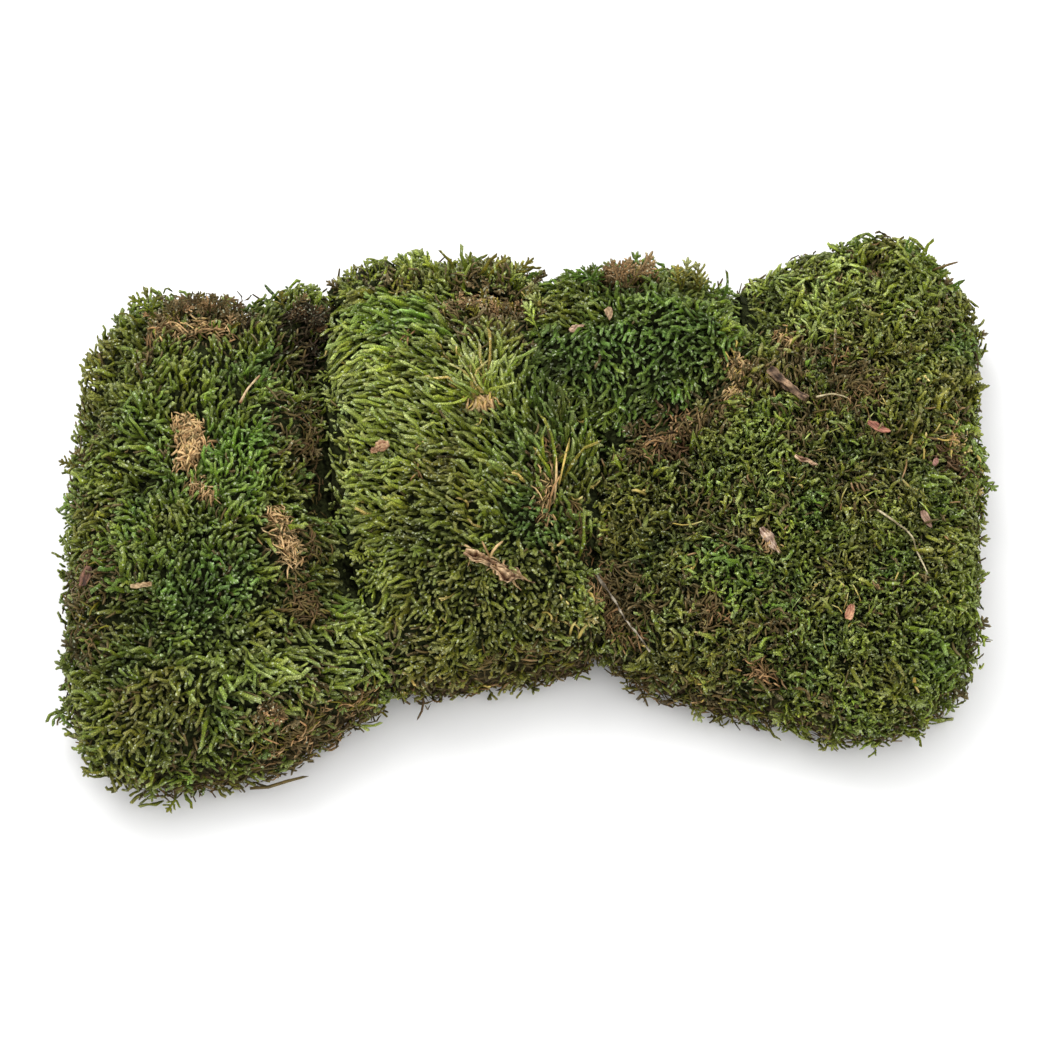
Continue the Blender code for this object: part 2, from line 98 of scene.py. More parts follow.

# Each sod as it lies in the clump. Spacing, width and frond_gap are in mm. Sway, in degrees, is how unruly
# its shoots are, curl how much they bend sideways, flow how closely their roots follow the way of the tips,
# and lie what share of the comb's lift the tips take. Forks is the share of forked shoots, depth how fast
# the green darkens downwards as painted shade, partly real older growth, and root the painted shade at the
# roots. Greens are shares of the sod's own colours.
# Comb: place in mm, the way the tips point seen from above in degrees, their lift off the skin in degrees,
# and the shoots' length in mm. Patches, by colour: place in mm, reach in mm, and how strongly it takes over.
SODS = {
    "left": {
        "node": "moss_sod_left", "slot": "moss_left", "seed": 11, "tone": 0.86, "spacing": 1.84,
        "width": 1.72, "shoot": "leafy", "sway": 55, "curl": 0.75, "flow": 0.5, "lie": 0.6, "forks": 0.06,
        "frond_gap": 9,
        "greens": {"leaf": 0.5, "deep": 0.3, "olive": 0.15, "fresh": 0.1, "umber": 0.05},
        "comb": [
            (-168, 61, 130, 45, 7), (-142, 39, 55, 35, 7.5), (-154, 15, 150, 35, 7.5),
            (-172, -8, 180, 55, 6), (-117, 48, 80, 30, 7), (-112, -1, 60, 40, 6.5), (-124, -42, 90, 68, 6),
            (-121, -65, 300, 70, 6), (-150, -72, 175, 45, 7.5), (-158, -102, 205, 45, 7),
            (-99, -59, 330, 60, 7.5), (-86, -80, 345, 22, 11), (-90, -96, 325, 28, 10.5),
            (-120, -94, 275, 32, 9.5), (-139, -112, 250, 45, 7), (-108, -113, 300, 40, 7.5),
            (-89, 33, 10, 30, 7), (-84, -21, 350, 25, 7)],
        "patches": {
            "olive": [(-168, 60, 23, 1), (-150, -106, 20, 1.5)],
            "umber": [(-138, 76, 13, 5), (-137, 85, 12, 8), (-120, 82, 9, 5), (-133, 16, 7, 6),
                (-91, -34, 7, 4), (-168, -46, 10, 3), (-166, -71, 10, 2), (-153, -92, 9, 1),
                (-82, -64, 9, 4), (-87, 22, 16, 2), (-92, 63, 10, 2.5), (-78, -106, 20, 6)],
            "bog": [(-89, 73, 9, 8)],
            "light": [(-80, -80, 21, 3), (-92, -96, 16, 2)],
            "blue": [(-120, 8, 20, 2)],
            "deep": [(-124, -56, 23, 3)]}},
    "centre": {
        "node": "moss_sod_centre", "slot": "moss_centre", "seed": 12, "tone": 0.81, "spacing": 1.78,
        "width": 1.74, "shoot": "leafy", "sway": 44, "curl": 0.65, "flow": 0.5, "lie": 0.6, "forks": 0.04,
        "frond_gap": 11,
        "greens": {"fresh": 0.3, "light": 0.15, "leaf": 0.45, "olive": 0.12, "umber": 0.03, "straw": 0.02},
        "comb": [
            (-76, 66, 195, 15, 11), (-73, 22, 180, 14, 10.5), (-70, -10, 178, 18, 9.5),
            (-67, -42, 190, 34, 7.5), (-52, 72, 215, 22, 10.5), (-44, 40, 170, 12, 11),
            (-37, 77, 150, 35, 8.5), (-39, 6, 165, 14, 11), (-16, 15, 140, 16, 10.5),
            (-20, 47, 120, 25, 9.5), (-1, 54, 60, 35, 7.5), (-39, -30, 178, 30, 7.5), (-5, -25, 220, 30, 7),
            (7, -1, 100, 25, 7.5), (-20, -55, 250, 55, 6), (10, -64, 280, 55, 6), (-49, -63, 215, 50, 6.5),
            (-20, -83, 270, 45, 5.5)],
        "patches": {
            "light": [(-75, 33, 27, 3), (-20, 36, 9, 4), (-17, 47, 10, 3)],
            "blue": [(-56, 69, 16, 3), (-3, 15, 14, 2)],
            "deep": [(-1, -22, 14, 3.5), (3, 40, 9, 4), (5, 27, 8, 2)],
            "umber": [(7, 8, 6, 3), (8, -12, 5, 3), (-49, -71, 12, 1), (14, -74, 8, 3), (-14, 76, 15, 4)],
            "olive": [(-39, -16, 20, 0.8), (-23, -64, 31, 1), (-20, -83, 23, 3), (-13, 68, 10, 3)],
            "leaf": [(-20, -60, 24, 1)]}},
    "crest": {
        "node": "moss_sod_crest", "slot": "moss_crest", "seed": 13, "tone": 0.87, "spacing": 1.73,
        "width": 1.66, "shoot": "leafy", "sway": 45, "curl": 0.7, "flow": 0.55, "lie": 0.4, "forks": 0.1,
        "frond_gap": 9,
        "greens": {"deep": 0.55, "leaf": 0.4, "fresh": 0.05, "umber": 0.02},
        "comb": [
            (3, 48, 215, 30, 7), (11, 76, 170, 35, 7), (35, 86, 100, 40, 7), (67, 87, 80, 40, 7),
            (26, 47, 300, 35, 7), (46, 59, 200, 30, 7), (70, 62, 195, 28, 7.5), (82, 70, 30, 40, 7),
            (58, 33, 255, 35, 7), (26, 24, 260, 40, 7), (74, 47, 230, 30, 7)],
        "patches": {
            "deep": [(42, 59, 31, 2)],
            "leaf": [(27, 75, 16, 2)],
            "light": [(63, 92, 12, 3)],
            "umber": [(39, 94, 9, 3), (82, 48, 5, 6), (76, 37, 5, 6), (66, 29, 6, 6), (43, 15, 6, 6)],
            "maroon": [(55, 21, 6, 6)],
            "olive": [(7, 74, 10, 2)]}},
    "back": {
        "node": "moss_tuft_back", "slot": "moss_back", "seed": 14, "tone": 0.98, "spacing": 1.78,
        "width": 1.5, "shoot": "leafy", "sway": 50, "curl": 0.6, "flow": 0.4, "lie": 0.7, "forks": 0.3,
        "frond_gap": 6,
        "greens": {"olive": 0.4, "leaf": 0.3, "fresh": 0.2, "umber": 0.2},
        "comb": [
            (-69, 94, 130, 50, 7.5), (-41, 98, 95, 55, 8.5), (-13, 95, 70, 50, 8.5), (1, 94, 50, 45, 7.5)],
        "patches": {
            "umber": [(-57, 91, 7, 3), (-21, 84, 14, 6)],
            "leaf": [(-37, 100, 16, 2)]}},
    "right": {
        "node": "moss_sod_right", "slot": "moss_right", "seed": 15, "tone": 0.95, "depth": 0.17,
        "root": 0.28, "flow": 0.55, "lie": 0.4, "spacing": 1.42, "width": 1.58, "shoot": "fine",
        "sway": 120, "curl": 0.8, "forks": 0.3, "frond_gap": 8,
        "greens": {"leaf": 0.34, "olive": 0.36, "deep": 0.26, "fresh": 0.07, "umber": 0.15, "straw": 0.006,
                   "rust": 0.012},
        "comb": [
            (85, 82, 130, 40, 8), (108, 97, 110, 35, 9), (137, 108, 80, 45, 8), (159, 93, 45, 45, 8),
            (170, 65, 10, 50, 7), (170, 15, 0, 50, 7), (167, -36, 350, 50, 6.5), (154, -77, 330, 50, 6.5),
            (128, -98, 285, 45, 6.5), (84, -90, 260, 45, 6), (43, -75, 240, 40, 6.5), (64, 3, 40, 50, 6.5),
            (41, -10, 150, 40, 6.5), (55, -37, 200, 40, 7.5), (93, -37, 270, 55, 6), (125, -5, 120, 60, 6),
            (116, 41, 60, 50, 6), (129, -62, 300, 65, 6), (102, 60, 60, 30, 8)],
        "patches": {
            "light": [(104, 94, 27, 3)],
            "leaf": [(147, 83, 20, 2), (72, 10, 23, 2), (143, -70, 23, 3)],
            "umber": [(137, 102, 6, 8), (102, 66, 6, 4), (116, 41, 20, 2), (126, 44, 10, 4),
                (30, -58, 16, 2), (29, -50, 10, 8), (28, -45, 8, 6), (62, -58, 8, 3), (82, 47, 5, 6),
                (75, 35, 5, 6), (64, 27, 6, 6), (41, 12, 6, 6)],
            "olive": [(145, 52, 27, 1.5), (44, -85, 16, 2), (41, -19, 12, 1.5)],
            "maroon": [(167, 13, 5, 2), (52, 19, 6, 6)],
            "straw": [(172, 22, 12, 0.12)],
            "deep": [(89, -46, 12, 2)]}},
}
# Where the moss swells out beyond its solid, or stays within it: place in mm, reach in mm, how far in mm.
SWELLS = [
    (-162, -110, 14, 2.5), (-172, -101, 14, 2.5), (-181, -52, 16, 3.5), (-178, -80, 14, -2),
    (101, -101, 12, 3), (118, -99, 12, 3.5), (166, -66, 16, 6), (180, 36, 14, -2.5), (182, 66, 12, -4),
    (183, 0, 10, -3), (132, -106, 12, -3), (152, 111, 14, 2.5), (167, 94, 14, 1.5), (-167, 76, 14, -3),
    (-147, 83, 10, -3), (-113, 86, 14, -6), (-70, 101, 15, -6), (19, 100, 14, -5), (48, 102, 14, -3),
    (72, 96, 14, -6), (112, 110, 16, -5), (-7, -78, 12, -1), (29, -69, 14, 3), (43, -85, 9, -5),
    (62, -84, 12, 1), (86, -93, 12, -3), (-183, 12, 14, 2.5), (-175, 60, 14, 2.5), (-139, -118, 14, 0.5),
    (-68, -104, 12, 2), (-14, -82, 8, 2)]
# Where the moss is darker or paler than its sod, partly its own tone and partly painted shade in hollows and
# gaps: place in mm, reach in mm, and how many times as bright.
SHADES = [
    (-44, -26, 26, 0.84), (-4, -27, 16, 0.86), (-89, 72, 8, 0.6), (2, 42, 13, 0.5), (-58, 68, 16, 1.2),
    (-57, 26, 24, 1.1), (-120, -5, 30, 1.08), (-165, -62, 20, 0.72), (-86, -86, 20, 0.84),
    (104, 91, 24, 1.16), (-78, -70, 9, 0.7), (17, 2, 9, 0.72), (-120, 0, 26, 1.1), (-108, -6, 20, 1.1),
    (-41, 98, 22, 1.26), (170, 25, 16, 1.55), (136, 44, 24, 0.92), (31, -53, 20, 0.76),
    (-140, -103, 14, 0.78), (20, 36, 12, 0.85), (50, 34, 12, 0.85)]


class Bed(typing.NamedTuple):
    """A bed of dead fibres or fronds, or a fan of long shoots. Lengths are in mm, and turns in degrees."""
    sod: str
    path: list
    reach: float
    count: int
    kind: str
    colours: str
    lengths: tuple
    radii: tuple
    heading: float
    spread: float
    lift: float
    sink: float
    fan: bool = False


# The colours of a bed are pairs of a body and a tip. A heading of None is along the path, one way or the
# other, and the green under a bed sinks by the last length. The shoots of a fan spread from one root.
BEDS = [
    Bed("crest", [(81, 55), (84, 50), (82, 45), (79, 39), (75, 36)], 3.4, 270, "bare",
        "tan tan, straw straw, rust tan, tan straw, tan tan", (5, 10), (0.3, 0.6), None, 28, 12, 4.5),
    Bed("crest", [(75, 36), (69, 32), (62, 27), (56, 22), (50, 19), (44, 16), (38, 14)], 4.6, 210, "bare",
        "rust rust, umber tan, maroon rust, rust tan, bog umber, umber rust", (4, 9), (0.3, 0.6), None, 42,
        10, 3.5),
    Bed("centre", [(-25, 32), (-20, 31), (-15, 34)], 2.0, 44, "leafy",
        "light light, light light, straw light, fresh light", (11, 20), (0.6, 0.78), 112, 36, 9, 0, True),
    Bed("centre", [(-23, 33), (-16, 31)], 3.0, 80, "bare", "tan tan, tan straw, straw straw, tan tan",
        (4, 9), (0.45, 0.75), 95, 45, 14, 3),
    Bed("centre", [(3, 4), (8, 5)], 2.5, 4, "leafy", "fresh straw, leaf light, olive straw", (12, 18),
        (0.5, 0.65), 92, 26, 14, 0, True),
    Bed("centre", [(8, 10), (6, -2), (5, -12), (5, -22)], 3.0, 100, "bare",
        "tan straw, rust tan, umber umber, umber rust", (5, 10), (0.25, 0.45), None, 35, 10, 3),
    Bed("left", [(-150, 70), (-146, 74), (-136, 79), (-124, 77), (-117, 73)], 4.0, 52, "frond",
        "rust tan, umber tan, olive umber, umber rust", (8, 12), (0.55, 0.8), 100, 70, 20, 2),
    Bed("left", [(-153, 64), (-147, 70), (-142, 72)], 2.5, 46, "bare",
        "rust rust, umber rust, maroon rust", (8, 13), (0.18, 0.3), 80, 22, 20, 2),
    Bed("left", [(-148, 64), (-138, 67), (-130, 68), (-121, 67)], 3.4, 110, "bare",
        "rust tan, tan tan, rust rust, tan straw, umber tan", (4, 8), (0.3, 0.5), None, 40, 8, 2.5),
    Bed("left", [(-97, 80), (-88, 79), (-83, 73), (-86, 66)], 3.5, 34, "frond",
        "bog maroon, bog bog, bog umber, maroon umber", (7, 11), (0.55, 0.8), 70, 80, 30, 2),
    Bed("left", [(-137, 26), (-131, 17), (-134, 4)], 4.4, 330, "bare",
        "tan tan, rust tan, tan straw, tan tan, tan straw, rust rust", (3, 7), (0.3, 0.6), 85, 60, 5, 4.5),
    Bed("left", [(-129, -3), (-126, -9), (-121, -13)], 3.0, 70, "bare", "rust tan, tan tan, umber rust",
        (4, 8), (0.2, 0.4), 60, 80, 20, 2),
    Bed("left", [(-96, -17), (-93, -30), (-89, -43)], 3.6, 190, "bare",
        "rust tan, tan tan, tan straw, tan tan, umber rust", (6, 12), (0.25, 0.5), 285, 30, 10, 3),
    Bed("centre", [(-22, -37), (-14, -43), (-6, -49)], 1.7, 22, "bare", "tan tan, tan straw, rust tan",
        (5, 10), (0.3, 0.55), None, 35, 14, 0),
    Bed("right", [(88, -26), (90, -33)], 2.4, 24, "bare", "tan tan, tan straw, rust tan", (3, 6),
        (0.3, 0.5), 90, 60, 20, 0),
    Bed("left", [(-89, 33), (-86, 19), (-84, 4), (-83, -21), (-80, -38)], 3.2, 90, "bare",
        "umber umber, maroon umber, umber olive", (5, 10), (0.25, 0.5), None, 40, 8, 4.5),
    Bed("left", [(-90, -46), (-82, -52), (-88, -60), (-76, -60)], 5.0, 110, "bare",
        "umber umber, maroon umber, umber rust, umber olive", (5, 9), (0.25, 0.5), 300, 80, 8, 3.5),
    Bed("left", [(-167, -28), (-171, -50), (-166, -71)], 4, 90, "bare",
        "umber umber, maroon umber, olive umber, umber rust", (5, 9), (0.25, 0.5), None, 50, 10, 1.5),
    Bed("left", [(-104, -114), (-92, -109), (-80, -103), (-68, -94), (-55, -87)], 5.0, 210, "bare",
        "umber rust, olive umber, rust tan, umber umber", (5, 9), (0.25, 0.5), None, 55, 7, 2),
    Bed("left", [(-99, -101), (-93, -99)], 2.6, 12, "frond", "rust tan, rust rust, umber rust", (6, 9),
        (0.8, 1.1), None, 60, 12, 1),
    Bed("centre", [(-26, -77), (-12, -78), (0, -77), (12, -73)], 3, 80, "bare",
        "umber rust, olive umber, umber umber", (5, 9), (0.25, 0.5), None, 55, 7, 1.5),
    Bed("centre", [(-32, 77), (-20, 80), (-8, 77), (0, 80)], 6.0, 66, "frond",
        "rust tan, umber tan, olive straw, rust rust, umber rust", (8, 12), (0.5, 0.75), 90, 70, 20, 2),
    Bed("crest", [(0, 82), (-1, 76)], 1.5, 5, "frond", "olive light, fresh light", (12, 18), (0.7, 0.9),
        90, 20, 45, 0),
    Bed("crest", [(30, 89), (38, 93), (45, 90)], 2.8, 26, "frond", "rust rust, rust tan, umber rust",
        (8, 12), (0.7, 0.95), 90, 55, 55, 1),
    Bed("crest", [(6, 90), (18, 93), (26, 92)], 2.5, 15, "frond", "deep umber, umber olive", (8, 13),
        (0.55, 0.8), 90, 60, 45, 0),
    Bed("crest", [(57, 90), (63, 93), (68, 88)], 2.5, 20, "frond", "olive light, leaf light", (8, 12),
        (0.6, 0.85), 90, 50, 60, 0),
    Bed("right", [(150, 110), (170, 98)], 3, 4, "frond", "deep umber, deep olive", (12, 16), (0.6, 0.8),
        40, 30, 30, 0),
    Bed("centre", [(14, -12), (18, -22), (20, -32)], 3.5, 50, "bare",
        "maroon umber, umber umber, umber rust", (6, 11), (0.25, 0.45), None, 35, 10, 2.5),
    Bed("right", [(24, -36), (27, -46), (30, -56), (36, -64)], 4.5, 150, "bare",
        "maroon rust, rust rust, umber rust, rust tan", (5, 11), (0.22, 0.45), None, 45, 14, 3.5),
    Bed("centre", [(-46, 71), (-49, 57)], 0.8, 11, "bare", "rust rust, maroon rust", (8, 12), (0.3, 0.5),
        None, 14, 10, 1),
    Bed("centre", [(-45, 8), (-44, -5)], 0.8, 11, "bare", "rust straw, umber rust, tan straw", (7, 11),
        (0.3, 0.5), None, 16, 10, 1),
    Bed("right", [(98, 71), (104, 62)], 3.2, 50, "bare", "rust tan, rust rust, tan straw, umber rust",
        (6, 12), (0.3, 0.5), 90, 55, 20, 2),
    Bed("right", [(132, 100), (140, 98)], 3, 36, "bare", "maroon umber, rust rust, umber tan", (5, 9),
        (0.2, 0.4), 90, 60, 25, 3),
    Bed("right", [(121, 58), (124, 46), (130, 36), (120, 34)], 6.5, 95, "bare",
        "umber umber, maroon rust, umber rust, rust tan", (5, 10), (0.2, 0.42), 90, 80, 12, 1.5),
    Bed("right", [(168, 30), (168, 18)], 3.5, 60, "bare", "tan straw, rust tan, straw straw, umber rust",
        (5, 9), (0.25, 0.45), 0, 60, 20, 1.5),
    Bed("right", [(80, -79), (86, -84)], 4.2, 54, "bare", "rust rust, umber rust, maroon rust, rust tan",
        (4, 9), (0.28, 0.45), None, 80, 15, 3),
    Bed("right", [(66, -56), (69, -60)], 3.6, 30, "bare", "rust rust, umber rust, maroon rust", (4, 9),
        (0.25, 0.45), 90, 80, 20, 2.5),
    Bed("right", [(58, -86), (66, -87)], 4, 44, "bare", "rust tan, umber rust, straw straw, umber umber",
        (5, 10), (0.25, 0.45), 270, 60, 15, 1.5),
    Bed("right", [(60, -20), (110, 10), (130, -40), (90, -60), (150, 0), (120, 75)], 14, 90, "bare",
        "light light, straw light, olive light", (8, 14), (0.22, 0.4), 60, 120, 14, 0),
]
# Stems and fronds that stand out one by one, by sod and shape: their radius in mm, body and tip colours,
# and the points in mm that they pass from root to tip.
LONE = {
    ("crest", "frond"): [
        (1.0, "rust tan", (37, 80, 54), (43, 86, 57), (48, 93, 61)),
        (0.9, "rust tan", (40, 82, 54), (45, 87, 57), (49, 90, 59)),
        (0.95, "rust rust", (35, 80, 54), (33, 85, 57), (31, 90, 60)),
        (0.95, "rust tan", (37, 80, 54), (37, 86, 57), (39, 91, 60)),
        (0.9, "rust rust", (34, 81, 54), (36, 86, 57), (36, 90, 59)),
        (0.85, "olive tan", (39, 81, 54), (41, 85, 56), (43, 88, 58)),
        (1.0, "olive light", (59, 81, 51), (61, 87, 54), (62, 93, 57)),
        (0.95, "olive light", (64, 83, 48), (67, 87, 51), (65, 93, 54)),
        (0.9, "olive straw", (59, 81, 51), (57, 86, 54), (58, 90, 56)),
        (0.8, "olive light", (66, 82, 48), (68, 85, 50), (67, 89, 52)),
        (0.8, "deep umber", (29, 83, 50), (23, 87, 53), (16, 87, 53), (9, 86, 52)),
        (0.8, "light light", (3, 60, 48), (0, 69, 49), (-4, 81, 44))],
    ("crest", "leafy"): [
        (0.64, "deep umber", (75, 80, 44), (79, 86, 48), (77, 91, 51)),
        (0.48, "deep umber", (77, 84, 45), (76, 84, 45), (74, 86, 46)),
        (0.64, "deep umber", (23, 87, 50), (25, 89, 52), (28, 92, 53))],
    ("back", "leafy"): [
        (0.92, "leaf light", (-27, 95, 42), (-28, 101, 45), (-29, 106, 48)),
        (0.72, "leaf olive", (-25, 96, 42), (-25, 100, 44), (-25, 103, 47)),
        (0.64, "deep umber", (-25, 97, 42), (-23, 100, 44), (-20, 102, 45)),
        (0.8, "olive umber", (-22, 94, 42), (-18, 98, 45), (-14, 102, 47)),
        (0.76, "olive umber", (-18, 94, 42), (-15, 97, 44), (-10, 100, 46)),
        (0.64, "deep umber", (-13, 94, 40), (-10, 97, 42), (-7, 99, 43)),
        (0.68, "olive umber", (-5, 98, 39), (-1, 99, 40), (4, 100, 40)),
        (0.64, "deep umber", (-3, 94, 39), (0, 97, 40), (3, 97, 40)),
        (0.64, "olive umber", (-32, 98, 42), (-34, 102, 44), (-38, 104, 46))],
    ("back", "frond"): [
        (0.8, "olive umber", (-11, 94, 39), (-4, 98, 42), (1, 102, 44))],
    ("left", "frond"): [
        (0.9, "leaf umber", (-150, 73, 44), (-155, 77, 47), (-161, 80, 48)),
        (0.85, "leaf umber", (-152, 73, 44), (-151, 77, 46), (-149, 81, 48)),
        (0.75, "umber umber", (-143, 72, 45), (-145, 76, 47), (-146, 78, 48)),
        (0.8, "umber rust", (-139, 73, 45), (-140, 78, 48), (-139, 80, 49)),
        (0.8, "maroon umber", (-135, 74, 45), (-135, 78, 48), (-133, 81, 49)),
        (0.8, "umber umber", (-129, 75, 45), (-128, 79, 47), (-127, 81, 49)),
        (0.8, "umber rust", (-124, 75, 44), (-123, 79, 46), (-121, 81, 48)),
        (0.75, "maroon umber", (-120, 76, 43), (-117, 79, 45), (-115, 78, 45)),
        (0.7, "umber olive", (-137, 74, 45), (-135, 78, 48), (-130, 81, 49)),
        (0.7, "umber rust", (-127, 75, 44), (-124, 79, 46), (-117, 79, 47)),
        (0.8, "olive umber", (-99, 79, 40), (-101, 83, 42), (-100, 86, 44)),
        (0.75, "umber rust", (-95, 80, 40), (-93, 82, 42), (-90, 85, 43)),
        (0.8, "leaf olive", (-132, -119, 12), (-133, -122, 10), (-136, -125, 8)),
        (0.8, "olive umber", (-175, 8, 36), (-180, 9, 36), (-184, 10, 37))],
    ("left", "leafy"): [
        (0.48, "olive umber", (-157, 70, 43), (-161, 74, 46), (-165, 73, 45)),
        (0.68, "leaf olive", (-129, -119, 12), (-127, -122, 10), (-126, -124, 9))],
    ("right", "leafy"): [
        (0.8, "leaf olive", (156, 101, 45), (160, 105, 48), (162, 108, 49)),
        (0.56, "deep umber", (151, 102, 45), (151, 105, 47), (152, 108, 49)),
        (0.56, "deep umber", (151, 102, 45), (153, 104, 47), (154, 107, 48)),
        (0.6, "olive umber", (146, 108, 42), (148, 110, 43), (151, 112, 45)),
        (0.52, "deep umber", (168, 89, 42), (171, 90, 43), (174, 91, 44)),
        (0.52, "deep umber", (169, 86, 42), (171, 88, 44), (173, 90, 45)),
        (0.6, "leaf umber", (164, 93, 42), (167, 95, 43), (169, 95, 43)),
        (0.64, "leaf olive", (143, -93, 12), (145, -96, 10), (146, -99, 9))],
    ("right", "bare"): [
        (0.6, "umber maroon", (162, 99, 39), (168, 101, 40), (173, 102, 41))],
    ("centre", "bare"): [
        (0.55, "maroon umber", (-42, -78, 12), (-41, -82, 10), (-42, -84, 9), (-44, -87, 7)),
        (0.5, "straw tan", (10, -5, 44), (12, 3, 48), (14, 11, 51)),
        (0.55, "tan straw", (8, -14, 45), (9, -6, 48), (9, 4, 51)),
        (0.5, "rust tan", (6, -18, 46), (7, -10, 49), (11, -3, 49)),
        (0.6, "tan tan", (-16, -42, 53), (-15, -40, 55), (-13, -38, 56), (-11, -37, 57)),
        (0.5, "rust tan", (-16, -42, 53), (-18, -39, 56), (-19, -37, 57)),
        (0.4, "rust tan", (-8, -47, 53), (-5, -50, 55), (-1, -53, 54))],
    ("left", "bare"): [
        (0.75, "umber umber", (-105, -117, 12), (-97, -117, 12), (-90, -114, 14), (-83, -113, 14))],
    ("right", "frond"): [
        (0.8, "olive light", (59, -79, 12), (62, -84, 9), (64, -88, 7)),
        (0.75, "olive umber", (172, -56, 12), (173, -56, 12), (174, -54, 13))],
    ("centre", "leafy"): [
        (0.66, "fresh straw", (9, -4, 45), (8, 4, 50), (8, 16, 52), (2, 22, 52)),
        (0.66, "olive straw", (11, -3, 43), (15, 4, 48), (21, 11, 47), (27, 15, 44)),
        (0.62, "fresh straw", (7, -3, 45), (5, 1, 50), (0, 6, 54)),
        (0.66, "light light", (-19, 34, 49), (-22, 40, 54), (-27, 49, 55)),
        (0.64, "straw straw", (-18, 34, 49), (-17, 46, 54), (-15, 56, 54), (-18, 61, 55)),
        (0.68, "fresh light", (-17, 34, 49), (-11, 39, 54), (-5, 48, 53), (3, 53, 53)),
        (0.72, "light light", (-19, 34, 49), (-25, 36, 53), (-32, 34, 58)),
        (0.72, "light light", (-17, 35, 49), (-14, 42, 54), (-10, 49, 54)),
        (0.64, "straw light", (-18, 34, 49), (-20, 44, 54), (-21, 54, 55)),
        (0.66, "leaf light", (17, -35, 39), (20, -26, 42), (19, -16, 46))],
    ("centre", "frond"): [
        (0.8, "straw light", (-3, 79, 42), (-2, 85, 43), (0, 92, 42)),
        (0.75, "olive light", (-2, 81, 42), (0, 86, 43), (2, 86, 48))],
}
# Litter, by material slot: the roughness from and to, the fineness of its grain, and for each piece its
# darker and its lighter colour, between which painted shade and painted light on its folds and ridges blend,
# how ragged its edge is, and how deep its folds are in mm.
LITTER = {
    "bark": ((0.7, 0.95, 700), {
        "twig_bark": ((58, 42, 32), (172, 140, 110), 0, 0.7),
        "bark_scrap_red": ((64, 44, 34), (138, 98, 78), 0.4, 0.4)}),
    "dry_stalk": ((0.5, 0.8, 900), {
        "stalk_long_grey": ((92, 80, 62), (200, 188, 166), 0, 0.4),
        "stalk_needle": ((134, 80, 40), (234, 206, 160), 0, 0.1),
        "stalk_pale_curved": ((146, 132, 96), (220, 206, 166), 0, 0.1),
        "stalk_pale_short": ((164, 148, 106), (224, 210, 170), 0, 0.08)}),
    "bud_scale": ((0.35, 0.6, 500), {
        "bud_scale_orange": ((164, 100, 76), (224, 176, 134), 0.3, 0.2),
        "bud_scale_pink": ((138, 104, 84), (206, 172, 146), 0.25, 0.25),
        "bud_scale_red": ((120, 62, 48), (206, 142, 116), 0.2, 0.35),
        "bud_scale_small": ((134, 86, 74), (214, 164, 146), 0.25, 0.25)}),
    "wood_chip": ((0.6, 0.9, 800), {
        "wood_chip_tan": ((134, 104, 68), (218, 188, 144), 0.3, 0.3)}),
    "dry_leaf": ((0.5, 0.85, 450), {
        "leaf_crumpled": ((112, 74, 50), (240, 204, 158), 0.5, 2.1),
        "leaf_scrap_dry": ((146, 112, 92), (236, 208, 182), 0.4, 1.2),
        "leaf_scrap_pink": ((158, 124, 100), (220, 188, 158), 0.25, 0.2),
        "leaf_scrap_rust": ((124, 58, 38), (212, 172, 130), 0.35, 1.0),
        "leaf_scrap_tan": ((150, 120, 90), (204, 174, 134), 0.2, 0.25),
        "leaf_sliver_orange": ((128, 88, 64), (228, 194, 156), 0.85, 0.7)}),
}

# Shapes of shoots: rings of height and radius, the height of the point, and how draw_stem turns them. Then
# come their side branches, if there are any: rings and point at a size of 1, tilt, twist, and for each
# branch its height, side, size and lean in degrees.
ROPE = ((0.0, 0.6), (3.2, 1.1), (6.3, 0.86), (9.1, 0.9))
SLIM = ((0, 0.5), (2.6, 0.95), (6.2, 1.0), (9.2, 0.75))
TWIG = ((0, 0.45), (1.2, 0.8), (3.2, 0.7))
SHAPES = {
    "leafy": (ROPE, 10, {"tilt": 12, "sides": 4, "crook": 0.4, "flat": 0.78}),
    "forked": (ROPE, 10, {"tilt": 12, "sides": 4, "crook": 0.35, "flat": 0.78},
               TWIG, 3.7, 12, 0, ((4.6, 1, 1.0, 48), (5.9, -1, 1.0, 48))),
    "fine": (SLIM, 10, {"tilt": 12, "crook": 0.3}),
    "sprig": (SLIM, 10, {"tilt": 12, "crook": 0.3}, TWIG, 3.7, 12, 0, ((4.8, 1, 0.8, 48),)),
    "bare": (((0, 0.8), (3, 1.0), (6.3, 0.95), (9, 0.7)), 10, {}),
    "root": (((0, 0.7), (5, 1.0)), 10, {}),
    "frond": (((0, 0.5), (6, 0.8), (12, 0.85), (15, 0.7)), 16, {"tilt": 6},
              ((0, 0.5), (1.2, 0.8), (4.6, 0.72)), 5.4, 10, 14,
              ((4.4, 1, 1.05, 44), (6.2, -1, 0.9, 38), (7.6, 1, 0.8, 36),
               (9.4, -1, 1.0, 42), (11.2, 1, 0.7, 34), (12.4, -1, 0.45, 40))),
}

# Materials of shoots: cells a metre and their contrast, the roughness from and to, the strength of the
# bump, and the length of the leaf scales in mm, or None.
SHOOT_LOOKS = {
    "moss_leafy": (1500, 0.7, 0.35, 0.7, 1.0, 0.95),
    "moss_fine": (1900, 0.7, 0.35, 0.7, 1.0, 0.75),
    "dead_stems": (900, 0.5, 0.5, 0.8, 0.2, None),
}
MID_GREY = (0.5, 0.5, 0.5, 1)
# Pale specks are painted glints: painted highlights on leaf tips, in this colour.
PAINTED_GLINT_COLOUR = (0.76, 0.82, 0.58, 1)
# The share of cells that aren't pale specks, the painted glints.
PAINTED_GLINT_LEVEL = 0.955
# How much paler a pale speck, a painted glint, is than the rest, from 0 to 1, and the contrast of the painted
# shade and highlight on the leaf scales.
PAINTED_GLINTS = 0.55
SCALE_CONTRAST = 1.2


def unit(vectors):
    """The same vectors at a length of 1."""
    return vectors / np.maximum(np.linalg.norm(vectors, axis=-1, keepdims=True), 1e-12)


